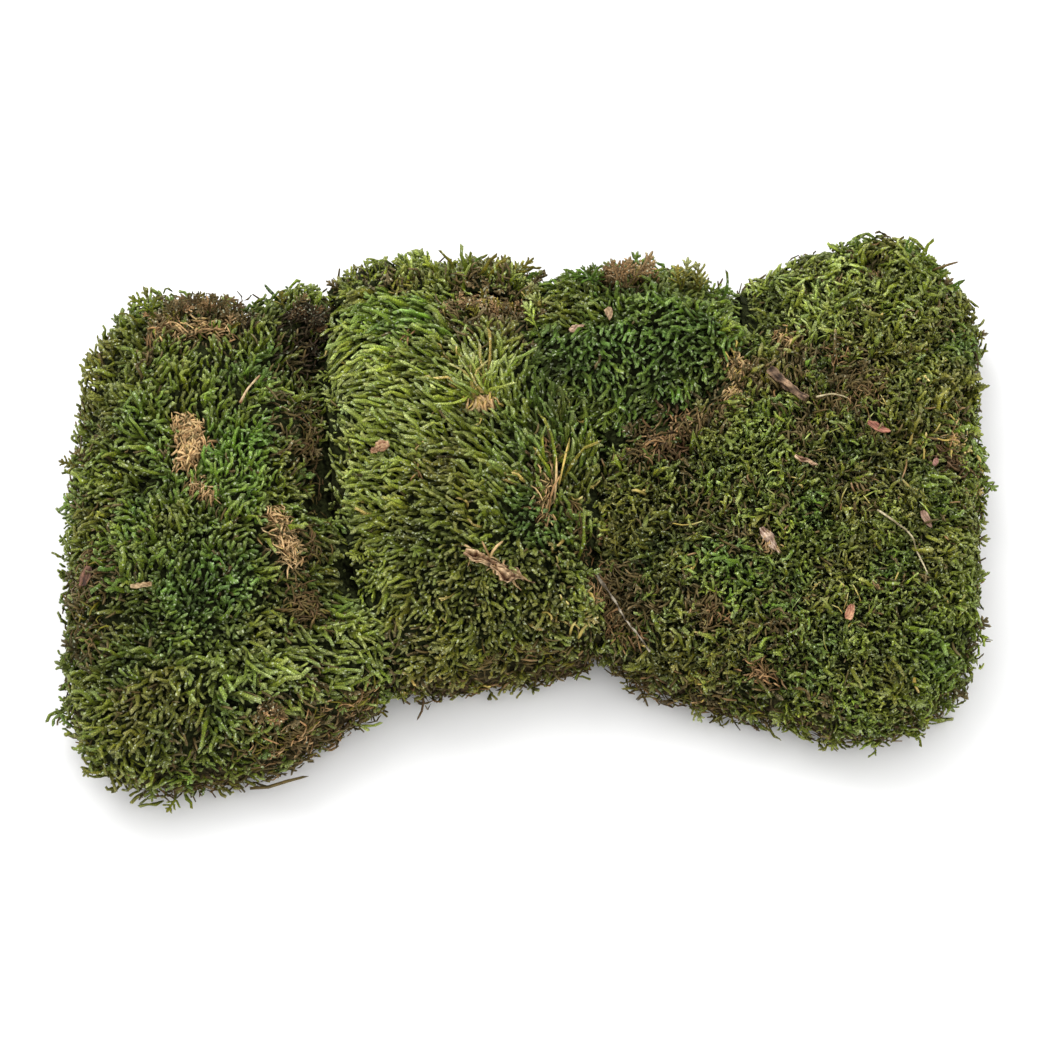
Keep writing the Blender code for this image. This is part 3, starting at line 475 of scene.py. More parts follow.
def mixed(first, second, share):
    """The first values where the share is 0, the second where it is 1."""
    return first * (1 - share) + second * share


def square_to(others, ways):
    """What is left of some ways when their part along the others is taken off."""
    return ways - others * (ways * others).sum(-1, keepdims=True)


def level_ways(headings):
    """Ways along the table that point where the headings say, in radians."""
    return np.stack([np.cos(headings), np.sin(headings), np.zeros(len(headings))], 1)


def keep_above(points, height):
    """Lifts points that are lower than a height up to it."""
    points[..., 2] = np.maximum(points[..., 2], height)


def steepness(normals, start, reach):
    """How steep the skin is: 0 where its normals point up by the start or more, 1 a reach or more below."""
    return np.clip((start - normals[:, 2]) / reach, 0, 1)


def linear(colour):
    """A colour from 0 to 255 as seen on a screen, as the light it stands for."""
    c = np.asarray(colour, float) / 255
    return np.where(c <= 0.04045, c / 12.92, ((c + 0.055) / 1.055) ** 2.4)


def colour_pair(words):
    """The body and tip colours that two words stand for. Only a light tip takes the colour of tips."""
    body, tip = words.split()
    return [linear(SHOOT_COLOURS[body][0]), linear(SHOOT_COLOURS[tip][int(tip == "light")])]


def clouds(points, size, seed):
    """Smooth random values around 0, mostly from -1 to 1, that change over about the given size in mm."""
    rng = np.random.default_rng(seed)
    value = np.zeros(len(points))
    for _ in range(6):
        wave = unit(rng.normal(size=3)) * 2 * math.pi / (size * 2 * MM * rng.uniform(0.7, 1.6))
        value += np.sin(points @ wave + rng.uniform(0, 2 * math.pi))
    return value / 2.2


def reaches_from(points, x, y, reach):
    """How far each point lies from a place, seen from above, in times the reach. The place is in mm."""
    return np.linalg.norm(points[:, :2] - np.array((x, y)) * MM, axis=1) / (reach * MM)


def leave_nothing_selected():
    if bpy.context.object and bpy.context.object.mode != "OBJECT":
        bpy.ops.object.mode_set(mode="OBJECT")
    bpy.ops.object.select_all(action="DESELECT")


@contextlib.contextmanager
def editing(thing):
    """Edit mode on one object, with all of its mesh selected."""
    leave_nothing_selected()
    thing.select_set(True)
    bpy.context.view_layer.objects.active = thing
    bpy.ops.object.mode_set(mode="EDIT")
    bpy.ops.mesh.select_all(action="SELECT")
    yield
    bpy.ops.object.mode_set(mode="OBJECT")


def read_all(items, field, kind=float):
    """A field of three values of every item, as the rows of an array."""
    values = np.empty(len(items) * 3, kind)
    items.foreach_get(field, values)
    return values.reshape(-1, 3)


def write_all(items, field, values, kind=np.float32):
    """Writes the values of an array into a field of every item."""
    items.foreach_set(field, np.ascontiguousarray(values, kind).ravel())


def paint_points(paint, colours):
    """Writes a colour for every point into the attribute of painted colours."""
    write_all(paint.data, "color", np.concatenate([colours, np.ones((len(colours), 1))], 1))


def mesh_arrays(mesh):
    """The points and the triangles of a mesh."""
    mesh.calc_loop_triangles()
    return read_all(mesh.vertices, "co"), read_all(mesh.loop_triangles, "vertices", int)


def node_arrays(node):
    """The points and the triangles of a CAD node, with points in one place merged."""
    points, faces = mesh_arrays(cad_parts[node].data)
    points, place = np.unique(np.round(points, 6), axis=0, return_inverse=True)
    return points, place.ravel()[faces]


def new_piece(name, points, faces, material, colours, leaf_place=None):
    """Makes one mesh object from arrays of points and triangles, paints it, and ties it to the frame."""
    mesh = bpy.data.meshes.new(name)
    mesh.vertices.add(len(points))
    write_all(mesh.vertices, "co", points)
    mesh.loops.add(len(faces) * 3)
    write_all(mesh.loops, "vertex_index", faces, np.int32)
    mesh.polygons.add(len(faces))
    write_all(mesh.polygons, "loop_start", np.arange(0, len(faces) * 3, 3), np.int32)
    write_all(mesh.polygons, "use_smooth", np.ones(len(faces)), bool)
    mesh.update(calc_edges=True)
    paint_points(mesh.attributes.new("own_colour", "FLOAT_COLOR", "POINT"), colours)
    if leaf_place is not None:
        write_all(mesh.attributes.new("leaf_place", "FLOAT_VECTOR", "POINT").data, "vector", leaf_place)
    mesh.materials.append(material)
    piece = bpy.data.objects.new(name, mesh)
    bpy.context.scene.collection.objects.link(piece)
    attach(piece, BODY)
    return piece


class Skin:
    """The outer surface of one sod, to grow shoots from."""

    def __init__(self, node):
        self.points, self.faces = node_arrays(node)
        self.tree = BVHTree.FromPolygons(self.points.tolist(), self.faces.tolist())
        corner = self.points[self.faces]
        cross = np.cross(corner[:, 1] - corner[:, 0], corner[:, 2] - corner[:, 0])
        self.area = np.linalg.norm(cross, axis=1) / 2
        self.flat = unit(cross)
        normals = np.zeros_like(self.points)
        for k in range(3):
            np.add.at(normals, self.faces[:, k], cross)
        normals = unit(normals)
        for _ in range(2):
            spread = normals.copy()
            for k in range(3):
                beside = normals[self.faces[:, (k + 1) % 3]] + normals[self.faces[:, (k + 2) % 3]]
                np.add.at(spread, self.faces[:, k], beside)
            normals = unit(spread)
        self.normals = normals

    def scatter(self, rng, amount, low=-0.5, high=2.0):
        """Random places where the skin faces no further down or up than told, and the outward ways there."""
        share = self.area * ((self.flat[:, 2] >= low) & (self.flat[:, 2] < high))
        pick = rng.choice(len(self.faces), amount, p=share / share.sum())
        a, b = rng.random(amount) ** 0.5, rng.random(amount)
        weight = np.stack([1 - a, a * (1 - b), a * b], 1)[:, :, None]
        corners = self.faces[pick]
        return (self.points[corners] * weight).sum(1), unit((self.normals[corners] * weight).sum(1))


def keep_apart(points, gap):
    """The numbers of the points that are left when none may be nearer to an earlier one than its gap."""
    cell = float(gap.max())
    around = list(itertools.product((-1, 0, 1), repeat=3))
    taken, kept = {}, []
    for i, (x, y, z) in enumerate(points.tolist()):
        cx, cy, cz = int(x // cell), int(y // cell), int(z // cell)
        near = (p for dx, dy, dz in around for p in taken.get((cx + dx, cy + dy, cz + dz), ()))
        limit = gap[i] ** 2
        if all((px - x) ** 2 + (py - y) ** 2 + (pz - z) ** 2 >= limit for px, py, pz in near):
            taken.setdefault((cx, cy, cz), []).append((x, y, z))
            kept.append(i)
    return np.array(kept)


def point_tree(points):
    """A search tree over points."""
    tree = KDTree(len(points))
    for i, p in enumerate(points):
        tree.insert(p, i)
    tree.balance()
    return tree


@functools.lru_cache(maxsize=None)
def skins():
    return {name: Skin(sod["node"]) for name, sod in SODS.items()}


@functools.lru_cache(maxsize=None)
def other_sods(name):
    """A search tree over all sods but one."""
    points, faces, start = [], [], 0
    for key, skin in skins().items():
        if key != name:
            points.append(skin.points)
            faces.append(skin.faces + start)
            start += len(skin.points)
    return BVHTree.FromPolygons(np.concatenate(points).tolist(), np.concatenate(faces).tolist())


@functools.lru_cache(maxsize=None)
def litter_tree():
    """A search tree over the litter, which shoots may not bury."""
    points = []
    for _, names in LITTER.values():
        for name in names:
            corners, faces = node_arrays(name)
            points += [corners, corners[faces].mean(1)]
    return point_tree(np.concatenate(points))


def litter_distance(points):
    """How far each point lies from the litter."""
    tree = litter_tree()
    return np.array([tree.find(p)[2] for p in points])


def in_the_open(name, points, normals, off, reach):
    """Which places on a sod have no other sod in front of them, from a bit off the skin, within a reach."""
    tree = other_sods(name)

    def is_free(p, n):
        return tree.ray_cast(Vector(p) + Vector(n) * off, Vector(n), reach)[0] is None

    return np.array([is_free(p, n) for p, n in zip(points, normals)])


def comb_at(points, marks):
    """The heading, lift and length that the marks around each point blend to."""
    marks = np.array(marks, float)
    far = np.linalg.norm(points[:, None, :2] - marks[None, :, :2] * MM, axis=2)
    share = (far + 4 * MM) ** -3.0
    share /= share.sum(1, keepdims=True)
    turn = np.radians(marks[:, 2])
    heading = np.stack([share @ np.cos(turn), share @ np.sin(turn)], 1)
    return np.arctan2(heading[:, 1], heading[:, 0]), share @ marks[:, 3], share @ marks[:, 4] * MM


def draw_colours(points, sod, rng):
    """Draws a colour name for each point, by the sod's greens and the patches around it, and its body and tip
    colours, which for a living shoot lie close to the blend of the greens that grow there."""
    names = list(SHOOT_COLOURS)
    chance = np.tile([sod["greens"].get(n, 0.0) for n in names], (len(points), 1))
    seed = sod["seed"] * 50
    for k in range(len(names)):
        chance[:, k] *= np.exp(1.3 * clouds(points, 13, seed + k))
    ragged = 1 + 0.28 * clouds(points, 5, seed + 40)
    for name, patches in sod["patches"].items():
        for x, y, reach, strength in patches:
            far = reaches_from(points, x, y, reach) * ragged
            chance[:, names.index(name)] += strength * np.exp(-far ** 4)
    low = np.clip(1 - points[:, 2] / (22 * MM), 0, 1)
    for name in ("umber", "olive"):
        chance[:, names.index(name)] += 0.8 * low
    chance /= chance.sum(1, keepdims=True)
    drawn = (chance.cumsum(1) < rng.random(len(points))[:, None]).sum(1).clip(0, len(names) - 1)
    living = np.array([n not in DEAD_SHARE for n in names])
    share = chance[:, living] + 1e-6
    share /= share.sum(1, keepdims=True)
    shades = []
    for which in (0, 1):
        table = np.array([linear(SHOOT_COLOURS[n][which]) for n in names])
        green = 0.8 * share @ table[living] + 0.2 * table[drawn]
        shades.append(np.where(living[drawn][:, None], green, table[drawn]))
    return np.array(names)[drawn], np.stack(shades, 1)


def lumps(points, sod):
    """How far the moss swells out of the skin, or sinks below it, in mm."""
    height = 2.0 * clouds(points, 22, sod["seed"] + 9)
    for x, y, reach, far in SWELLS:
        height += far * np.exp(-reaches_from(points, x, y, reach) ** 2)
    return height


def shade_at(points):
    """How many times as bright as the rest of its sod the moss is around each point, partly as painted shade.
    """
    bright = np.zeros(len(points))
    for x, y, reach, times in SHADES:
        bright += math.log(times) * np.exp(-reaches_from(points, x, y, reach) ** 2)
    return np.exp(bright)


def off_path(points, path):
    """How far each point lies from a path, seen from above, in mm."""
    flat = points[:, :2] / MM
    corners = np.array(path, float)
    far = np.linalg.norm(flat - corners[0], axis=1)
    for a, b in zip(corners, corners[1:]):
        along = np.clip(((flat - a) @ (b - a)) / ((b - a) @ (b - a)), 0, 1)
        far = np.minimum(far, np.linalg.norm(flat - a - along[:, None] * (b - a), axis=1))
    return far


def under_beds(points):
    """How far the green shoots sink under the beds of dead fibres, in mm."""
    sunk = np.zeros(len(points))
    for bed in BEDS:
        sunk = np.maximum(sunk, bed.sink * np.exp(-(off_path(points, bed.path) / (bed.reach + 0.8)) ** 4))
    return sunk


@functools.lru_cache(maxsize=None)
def sow(name):
    """Places the tips of one sod's shoots on its skin: places, outward ways, names and shades of their
    colours, and which of them are dead stems."""
    sod = SODS[name]
    rng = np.random.default_rng(sod["seed"])
    skin = skins()[name]
    amount = int(skin.area.sum() / (sod["spacing"] * MM) ** 2 * 8)
    points, normals = skin.scatter(rng, amount)
    steep = steepness(normals, 0.6, 0.6)
    upright = np.clip((comb_at(points, sod["comb"])[1] - 32) / 25, 0, 1)
    kept = keep_apart(points, sod["spacing"] * MM * (1 + 0.3 * steep - 0.2 * upright * (1 - steep)))
    points, normals = points[kept], normals[kept]
    high = (normals[:, 2] > 0.5) | (points[:, 2] > 0.03)
    free = (normals[:, 2] > -0.45) & (high | in_the_open(name, points, normals, 0.0002, 0.0025))
    points, normals = points[free], normals[free]
    colours, shades = draw_colours(points, sod, rng)
    dead = rng.random(len(points)) < np.array([DEAD_SHARE.get(c, 0) for c in colours])
    return points, normals, colours, shades, dead


def tip_directions(points, normals, sod, sway, rng):
    """The way each tip points: along the comb, lifted off the skin, and straight out on steep walls."""
    heading, lift, length = comb_at(points, sod["comb"])
    sway = sway * np.clip(lift / 42, 0.5, 1.15)
    turn = rng.normal(0, 0.55, len(points)) * sway + 0.7 * sway * clouds(points, 8, 7)
    heading = heading + np.radians(turn + 10 * clouds(points, 20, 6))
    lift = sod["lie"] * lift + 11 * clouds(points, 7, 8)
    steep = steepness(normals, 0.55, 0.5)
    along = square_to(normals, level_ways(heading))
    held = np.linalg.norm(along, axis=1, keepdims=True)
    climb = UP - normals * normals[:, 2:]
    along = unit(along + (1 - held) * climb * rng.uniform(-0.7, 1.0, (len(points), 1)))
    lift = np.radians(lift * (1 - steep) + 30 * steep + rng.normal(0, 12, len(points)))
    lift = np.clip(lift, 0.05, 1.5)[:, None]
    return along * np.cos(lift) + normals * np.sin(lift), along, length


class Shape(typing.NamedTuple):
    """A shoot modelled once, standing up from 0 to 1, to be bent along many lines."""
    points: np.ndarray
    faces: np.ndarray


class Runs(typing.NamedTuple):
    """Curved middle lines of shoots, from root to tip, with two directions across each, and their lengths."""
    line: np.ndarray
    across: np.ndarray
    over: np.ndarray
    lengths: np.ndarray

    def only(self, chosen):
        """The same lines, but only the chosen ones."""
        return Runs(*(field[chosen] for field in self))

    def lay(self, shape, widths):
        """Bends the shape along every line: all points in one array, and the triangles between them."""
        last = self.line.shape[1] - 1
        along = shape.points[:, 2] * last
        low = np.minimum(along.astype(int), last - 1)
        share = (along - low)[None, :, None]
        line, side, over = (mixed(field[:, low], field[:, low + 1], share) for field in self[:3])
        off = shape.points[None, :, :2] * widths[:, None, None]
        points = line + side * off[:, :, :1] + over * off[:, :, 1:]
        keep_above(points, LEAST_HEIGHT)
        faces = shape.faces[None] + np.arange(len(points))[:, None, None] * points.shape[1]
        return points.reshape(-1, 3), faces.reshape(-1, 3)

    def leaf_places(self, shape):
        """For every laid point: its side of the shoot, as cosine and sine, and how far along it is in mm."""
        side = unit(shape.points[:, :2])
        along = shape.points[None, :, 2] * self.lengths[:, None] / MM
        sides = np.broadcast_to(side[None], (len(self.lengths), *side.shape))
        return np.concatenate([sides, along[:, :, None]], 2).reshape(-1, 3)


def runs_along(line, way, side, lengths):
    """Runs whose middle lines, ways at each point, and one direction across each are given."""
    side = unit(square_to(way, side[:, None]))
    return Runs(line, side, np.cross(way, side), lengths)


def grow_runs(tips, tip_way, root_way, lengths, rng, curl, side=None):
    """Runs that grow backwards from their tips, turning from the way at the tip to the way at the root."""
    sideways = unit(np.cross(root_way, tip_way) + 1e-9)
    swing = rng.normal(0, curl, (len(tips), 1, 1))
    bend = np.linspace(0, 1, STATIONS)[None, :, None] ** 0.9
    turned = mixed(root_way[:, None], tip_way[:, None], bend)
    way = unit(turned + sideways[:, None] * swing * np.cos(bend * math.pi))
    steps = unit(way[:, 1:] + way[:, :-1]) * (lengths / (STATIONS - 1))[:, None, None]
    back = np.concatenate([steps[:, ::-1].cumsum(1)[:, ::-1], np.zeros((len(tips), 1, 3))], 1)
    line = tips[:, None] - back
    keep_above(line, LEAST_LINE_HEIGHT)
    if side is None:
        side = unit(rng.normal(size=(len(tips), 3)))
    return runs_along(line, way, side, lengths)


def even_line(path):
    """A smooth line of evenly spaced points along a path in mm."""
    path = np.array(path, float) * MM
    far = np.concatenate([[0], np.linalg.norm(np.diff(path, axis=0), axis=1).cumsum()])
    even = np.linspace(0, far[-1], STATIONS)
    line = np.stack([np.interp(even, far, path[:, k]) for k in range(3)], 1)
    for _ in range(2):
        line[1:-1] = (line[:-2] + 2 * line[1:-1] + line[2:]) / 4
    return line


def turn_selected(degrees, axis, centre=(0, 0, 0)):
    bpy.ops.transform.rotate(value=math.radians(degrees), orient_axis=axis, center_override=centre)


def draw_stem(name, rings, point, tilt=0, sides=3, crook=0.0, flat=1.0):
    """Draws a stem with a few sides upwards through rings of height and radius, each turned against the last,
    tilted, and set off to one side by turns, up to a point, and flattens it."""
    leave_nothing_selected()
    bpy.ops.mesh.primitive_circle_add(vertices=sides, radius=rings[0][1], fill_type="NGON",
                                      location=(0, 0, rings[0][0]), enter_editmode=True)
    stem = bpy.context.object
    stem.name = name
    bpy.ops.object.mode_set(mode="OBJECT")
    bpy.ops.object.transform_apply()
    bpy.ops.object.mode_set(mode="EDIT")
    off = 0.0
    for k, ((low, thin), (high, wide)) in enumerate(zip(rings, rings[1:])):
        step = (-crook if k % 2 else crook) - off
        off += step
        centre = (off, 0, high)
        bpy.ops.mesh.extrude_region_move(TRANSFORM_OT_translate={"value": (step, 0, high - low)})
        bpy.ops.transform.resize(value=(wide / thin, wide / thin, 1), center_override=centre)
        turn_selected(60 if sides == 3 else 20, "Z", centre)
        if tilt:
            turn_selected(tilt, "Y" if k % 2 else "X", centre)
            tilt = tilt if k % 2 else -tilt
    bpy.ops.mesh.extrude_region_move(TRANSFORM_OT_translate={"value": (-off, 0, point - rings[-1][0])})
    bpy.ops.mesh.merge(type="CENTER")
    bpy.ops.mesh.select_all(action="SELECT")
    if flat != 1.0:
        bpy.ops.transform.resize(value=(flat ** -0.5, flat, 1), center_override=(0, 0, 0))
    bpy.ops.mesh.quads_convert_to_tris(quad_method="SHORTEST_DIAGONAL", ngon_method="BEAUTY")
    bpy.ops.mesh.normals_make_consistent(inside=False)
    bpy.ops.object.mode_set(mode="OBJECT")
    return stem


def add_branches(stem, rings, point, tilt, twist, branches):
    """Joins side branches to a stem, each at a height, on a side, at a size, and leaning by degrees."""
    parts = [stem]
    for height, side, size, lean in branches:
        branch = draw_stem("side_branch", [(high * size, wide) for high, wide in rings], point * size, tilt)
        with editing(branch):
            turn_selected(lean * side, "Y")
            if twist:
                turn_selected(twist * side * size, "X")
            bpy.ops.transform.translate(value=(0, 0, height))
        parts.append(branch)
    leave_nothing_selected()
    for part in parts:
        part.select_set(True)
    bpy.context.view_layer.objects.active = stem
    bpy.ops.object.join()


@functools.lru_cache(maxsize=None)
def shape_of(kind):
    """Draws one kind of shoot, and takes its points and triangles."""
    rings, point, turns, *branches = SHAPES[kind]
    stem = draw_stem(kind, rings, point, **turns)
    if branches:
        add_branches(stem, *branches)
    mesh = stem.data
    shape = Shape(*mesh_arrays(mesh))
    shape.points[:, 2] = np.clip(shape.points[:, 2] / shape.points[:, 2].max(), 0, 1)
    bpy.data.objects.remove(stem, do_unlink=True)
    bpy.data.meshes.remove(mesh)
    return shape


def shoot_paint(heights, shades, tone, rng, root):
    """The colour of every point of every shoot: painted shade at the root, the body's own green, and a paler
    tip that is partly its own colour and partly painted highlight.
    """
    count = len(shades)
    tone = tone[:, None] * np.exp(rng.normal(0, 0.14, (count, 1)))
    warm = 1 + rng.normal(0, 0.04, (count, 1)) * np.array((1.0, 0.0, -0.6))
    body, tip = shades[:, 0] * tone * warm, shades[:, 1] * tone * warm
    height = heights[None, :, None]
    to_tip = np.clip((height - 0.45) / 0.5, 0, 1) ** 1.5 * rng.uniform(0.25, 0.75, (count, 1, 1))
    colour = mixed(body[:, None], tip[:, None], to_tip)
    # Painted shade: darker towards the root, where it lies deep among the others, and most in blue.
    dark = (root + (1 - root) * np.clip(height / 0.4, 0, 1)) ** np.array((0.95, 1.0, 1.5))
    worn = np.exp(rng.normal(0, 0.1, (count, len(heights), 1)))
    return np.clip(colour * dark * worn, 0, 1)


def grow_pieces(name, kind, runs, shape, widths, shades, tone, rng, look="dead_stems", root=0.4):
    """Lays a shape along the runs of a sod, in as many pieces as keep each under its limit of faces."""
    sod, shape, count = SODS[name], shape_of(shape), len(widths)
    paint = shoot_paint(shape.points[:, 2], shades, np.broadcast_to(tone, count), rng, root)
    pieces = -(-count * len(shape.faces) // MOST_FACES)
    share = -(-count // pieces)
    for k in range(pieces):
        part = slice(k * share, (k + 1) * share)
        some = runs.only(part)
        points, faces = some.lay(shape, widths[part])
        number = f"_{k + 1}" if pieces > 1 else ""
        piece = new_piece(f"{name}_{kind}{number}", points, faces, shoot_material(look),
                          paint[part].reshape(-1, 3), some.leaf_places(shape))
        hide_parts(sod["node"])


def set_inputs(tree, node, inputs):
    """Sets a node's inputs to values, or links them to other nodes' outputs."""
    for socket, value in inputs.items():
        if isinstance(value, bpy.types.NodeSocket):
            tree.links.new(value, node.inputs[socket])
        else:
            node.inputs[socket].default_value = value


def add_node(tree, kind, inputs, **traits):
    """Adds a shader node with its traits and inputs, and gives its outputs."""
    node = tree.nodes.new("ShaderNode" + kind)
    for trait, value in traits.items():
        setattr(node, trait, value)
    set_inputs(tree, node, inputs)
    return node.outputs


def math_node(tree, operation, *values):
    return add_node(tree, "Math", dict(enumerate(values)), operation=operation)[0]


def scaled(tree, colour, factor):
    return add_node(tree, "VectorMath", {0: colour, "Scale": factor}, operation="SCALE")[0]


def new_group(name, inputs, outputs):
    """Starts a node group, and gives it and what comes into it. An input's kind follows from its value."""
    group = bpy.data.node_groups.new(name, "ShaderNodeTree")
    for socket, value in inputs.items():
        kind = "Float" if isinstance(value, float) else "Color" if len(value) == 4 else "Vector"
        taken = group.interface.new_socket(socket, in_out="INPUT", socket_type="NodeSocket" + kind)
        taken.default_value = value
    for socket in outputs:
        kind = "Color" if socket == "Colour" else "Float"
        group.interface.new_socket(socket, in_out="OUTPUT", socket_type="NodeSocket" + kind)
    return group, group.nodes.new("NodeGroupInput").outputs


@functools.lru_cache(maxsize=None)
def speckle_group():
    """Fine cells that lighten, darken and raise a surface: leaf scales, crumbs on thatch, pores on litter."""
    group, given = new_group("speckle", {
        "Colour": MID_GREY, "Place": (0, 0, 0), "Cells per metre": 1500.0, "Contrast": 0.4,
        "Painted glints": 0.0, "Smoothest": 0.4, "Roughest": 0.7}, ("Colour", "Height", "Roughness"))
    cells = add_node(group, "TexVoronoi", {"Vector": given["Place"], "Scale": given["Cells per metre"]})
    parts = add_node(group, "SeparateColor", {"Color": cells["Color"]})
    centred = math_node(group, "SUBTRACT", parts["Red"], 0.5)
    shade = scaled(group, given["Colour"], math_node(group, "MULTIPLY_ADD", centred, given["Contrast"], 1.0))
    # Pale specks in a few cells: painted glints, painted highlights.
    glint_cell = math_node(group, "GREATER_THAN", parts["Blue"], PAINTED_GLINT_LEVEL)
    share = math_node(group, "MULTIPLY", glint_cell, given["Painted glints"])
    with_glints = add_node(group, "Mix", {"Factor": share, "A": shade, "B": PAINTED_GLINT_COLOUR}, data_type="RGBA")
    rough = add_node(group, "MapRange", {
        "Value": parts["Green"], "To Min": given["Smoothest"], "To Max": given["Roughest"]})
    set_inputs(group, group.nodes.new("NodeGroupOutput"), {
        "Colour": with_glints["Result"], "Roughness": rough[0],
        "Height": math_node(group, "SUBTRACT", 1.0, cells["Distance"])})
    return group


@functools.lru_cache(maxsize=None)
def scales_group():
    """Leaves that overlap like scales along a shoot, each with painted shade at its dark base and a painted
    highlight on its pale, raised, pointed tip.
    """
    group, given = new_group("leaf_scales", {
        "Colour": MID_GREY, "Leaf place": (0, 0, 0), "Leaf length": 0.9, "Rows": 4.0, "Contrast": 0.5},
        ("Colour", "Height"))
    calculate = functools.partial(math_node, group)
    parts = add_node(group, "SeparateXYZ", {"Vector": given["Leaf place"]})
    turn = calculate("MULTIPLY", calculate("ARCTAN2", parts["Y"], parts["X"]), 1 / (2 * math.pi))
    row = calculate("MULTIPLY", turn, given["Rows"])
    odd = calculate("ABSOLUTE", calculate("MODULO", calculate("FLOOR", row), 2.0))
    edge = calculate("ABSOLUTE", calculate("SUBTRACT", calculate("FRACT", row), 0.5))
    along = calculate("DIVIDE", parts["Z"], given["Leaf length"])
    along = calculate("ADD", along, calculate("MULTIPLY", odd, 0.5))
    leaf = calculate("FRACT", calculate("MULTIPLY_ADD", edge, 1.3, along))
    # The raised tip of each scale is painted lighter and its low base darker: painted highlight and shade.
    tip = calculate("SUBTRACT", calculate("POWER", leaf, 1.4), 0.42)
    tone = calculate("MULTIPLY_ADD", tip, given["Contrast"], 1.0)
    set_inputs(group, group.nodes.new("NodeGroupOutput"), {
        "Colour": scaled(group, given["Colour"], tone), "Height": leaf})
    return group


def painted_material(name, surface, speckles, bump, finish):
    """A material that starts from a piece's painted colour. The surface gives a colour and a height, or none,
    for a tree, the paint and the place on the object. Bump is a strength and a distance."""
    material = bpy.data.materials.new(name)
    material.use_nodes = True
    tree = material.node_tree
    paint = add_node(tree, "Attribute", {}, attribute_name="own_colour")["Color"]
    place = add_node(tree, "TexCoord", {})["Object"]
    colour, height = surface(tree, paint, place)
    names = ("Cells per metre", "Contrast", "Smoothest", "Roughest", "Painted glints")
    cells = add_node(tree, "Group", {"Colour": colour, "Place": place, **dict(zip(names, speckles))},
                     node_tree=speckle_group())
    raised = add_node(tree, "Bump", {
        "Strength": bump[0], "Distance": bump[1], "Height": cells["Height"] if height is None else height})
    set_inputs(tree, tree.nodes["Principled BSDF"], {
        "Normal": raised["Normal"], "Base Color": cells["Colour"], "Roughness": cells["Roughness"], **finish})
    return material


@functools.lru_cache(maxsize=None)
def shoot_material(look):
    """Moss shoots: the painted greens, broken up by leaf scales with painted shade and highlights, and by
    painted glints.
    """
    *speckles, bump, leaf_length = SHOOT_LOOKS[look]

    def plain(tree, paint, place):
        return paint, None

    def scaly(tree, paint, place):
        where = add_node(tree, "Attribute", {}, attribute_name="leaf_place")["Vector"]
        scales = add_node(tree, "Group", {
            "Leaf length": leaf_length, "Contrast": SCALE_CONTRAST, "Leaf place": where, "Colour": paint},
            node_tree=scales_group())
        return scales["Colour"], scales["Height"]

    finish = {"Specular IOR Level": 0.42, "Specular Tint": (1, 1, 0.5, 1)}
    if leaf_length:
        finish |= {"Sheen Weight": 0.05, "Sheen Roughness": 0.4, "Sheen Tint": (0.8, 0.88, 0.5, 1)}
        speckles.append(PAINTED_GLINTS)
    return painted_material(look, scaly if leaf_length else plain, speckles, (bump, 0.0004), finish)


def fibres(tree, place, scale, detail, distortion):
    return add_node(tree, "TexNoise", {
        "Scale": scale, "Detail": detail, "Distortion": distortion, "Vector": place})["Fac"]


def thatch_material():
    """The heart of a sod: matted old stems in their painted browns, with painted shade that makes them nearly
    black in their hollows.
    """
    def matted(tree, paint, place):
        mat = fibres(tree, place, 300, 6, 1.6)
        # The grain's low places are painted darker, as painted shade, and its high ones paler.
        depth = add_node(tree, "MapRange", {
            "Value": mat, "From Min": 0.35, "From Max": 0.7, "To Min": 0.15, "To Max": 1.7})[0]
        return scaled(tree, paint, depth), mat

    return painted_material("moss_thatch", matted, (900, 0.8, 0.8, 0.95), (0.9, 0.001),
                            {"Specular IOR Level": 0.05})


def litter_material(name, smooth, rough, grain):
    """Dry litter: its folds painted with light and shade, with a fibrous grain and fine crumbs."""
    def grained(tree, paint, place):
        grains = fibres(tree, place, grain, 5, 0.8)
        stain = add_node(tree, "Mix", {"Factor": 0.55, "A": paint, "B": grains},
                         data_type="RGBA", blend_type="MULTIPLY")["Result"]
        return scaled(tree, stain, 0.98), grains

    return painted_material(name, grained, (1800, 0.6, smooth, rough), (0.7, 0.0003),
                            {"Specular IOR Level": 0.3})


def colour_property(name, description, default):
    return bpy.props.FloatVectorProperty(name=name, description=description, default=default, size=3,
                                         subtype="COLOR", min=0, max=1)


class MossSettings(bpy.types.PropertyGroup):
    shoot_size: bpy.props.FloatProperty(
        name="Shoot width", description="Width of all shoots against those of the photograph", default=1.0,
        min=0.5, max=2.0, subtype="FACTOR")
    core_depth: bpy.props.FloatProperty(
        name="Core depth", description="How far the brown heart of a sod lies under its tips", default=0.0055,
        unit="LENGTH")
    # The heart's top is painted nearly black green, as painted shade under the living shoots.
    shaded_core_green: colour_property(
        "Heart, above", "Colour of the old stems under the living shoots", (0.02, 0.024, 0.008))
    core_brown: colour_property(
        "Heart, below", "Colour of the torn roots on the low walls", (0.085, 0.058, 0.03))
    floor_colour: colour_property("Floor", "Colour of the floor", (0.9, 0.9, 0.9))
    daylight: bpy.props.FloatProperty(
        name="Daylight", description="Strength of the soft light from all around", default=1.25, min=0)
    key_light: bpy.props.FloatProperty(
        name="Key light", description="Power of the lamp over the back left", default=11.0, min=0,
        subtype="POWER")


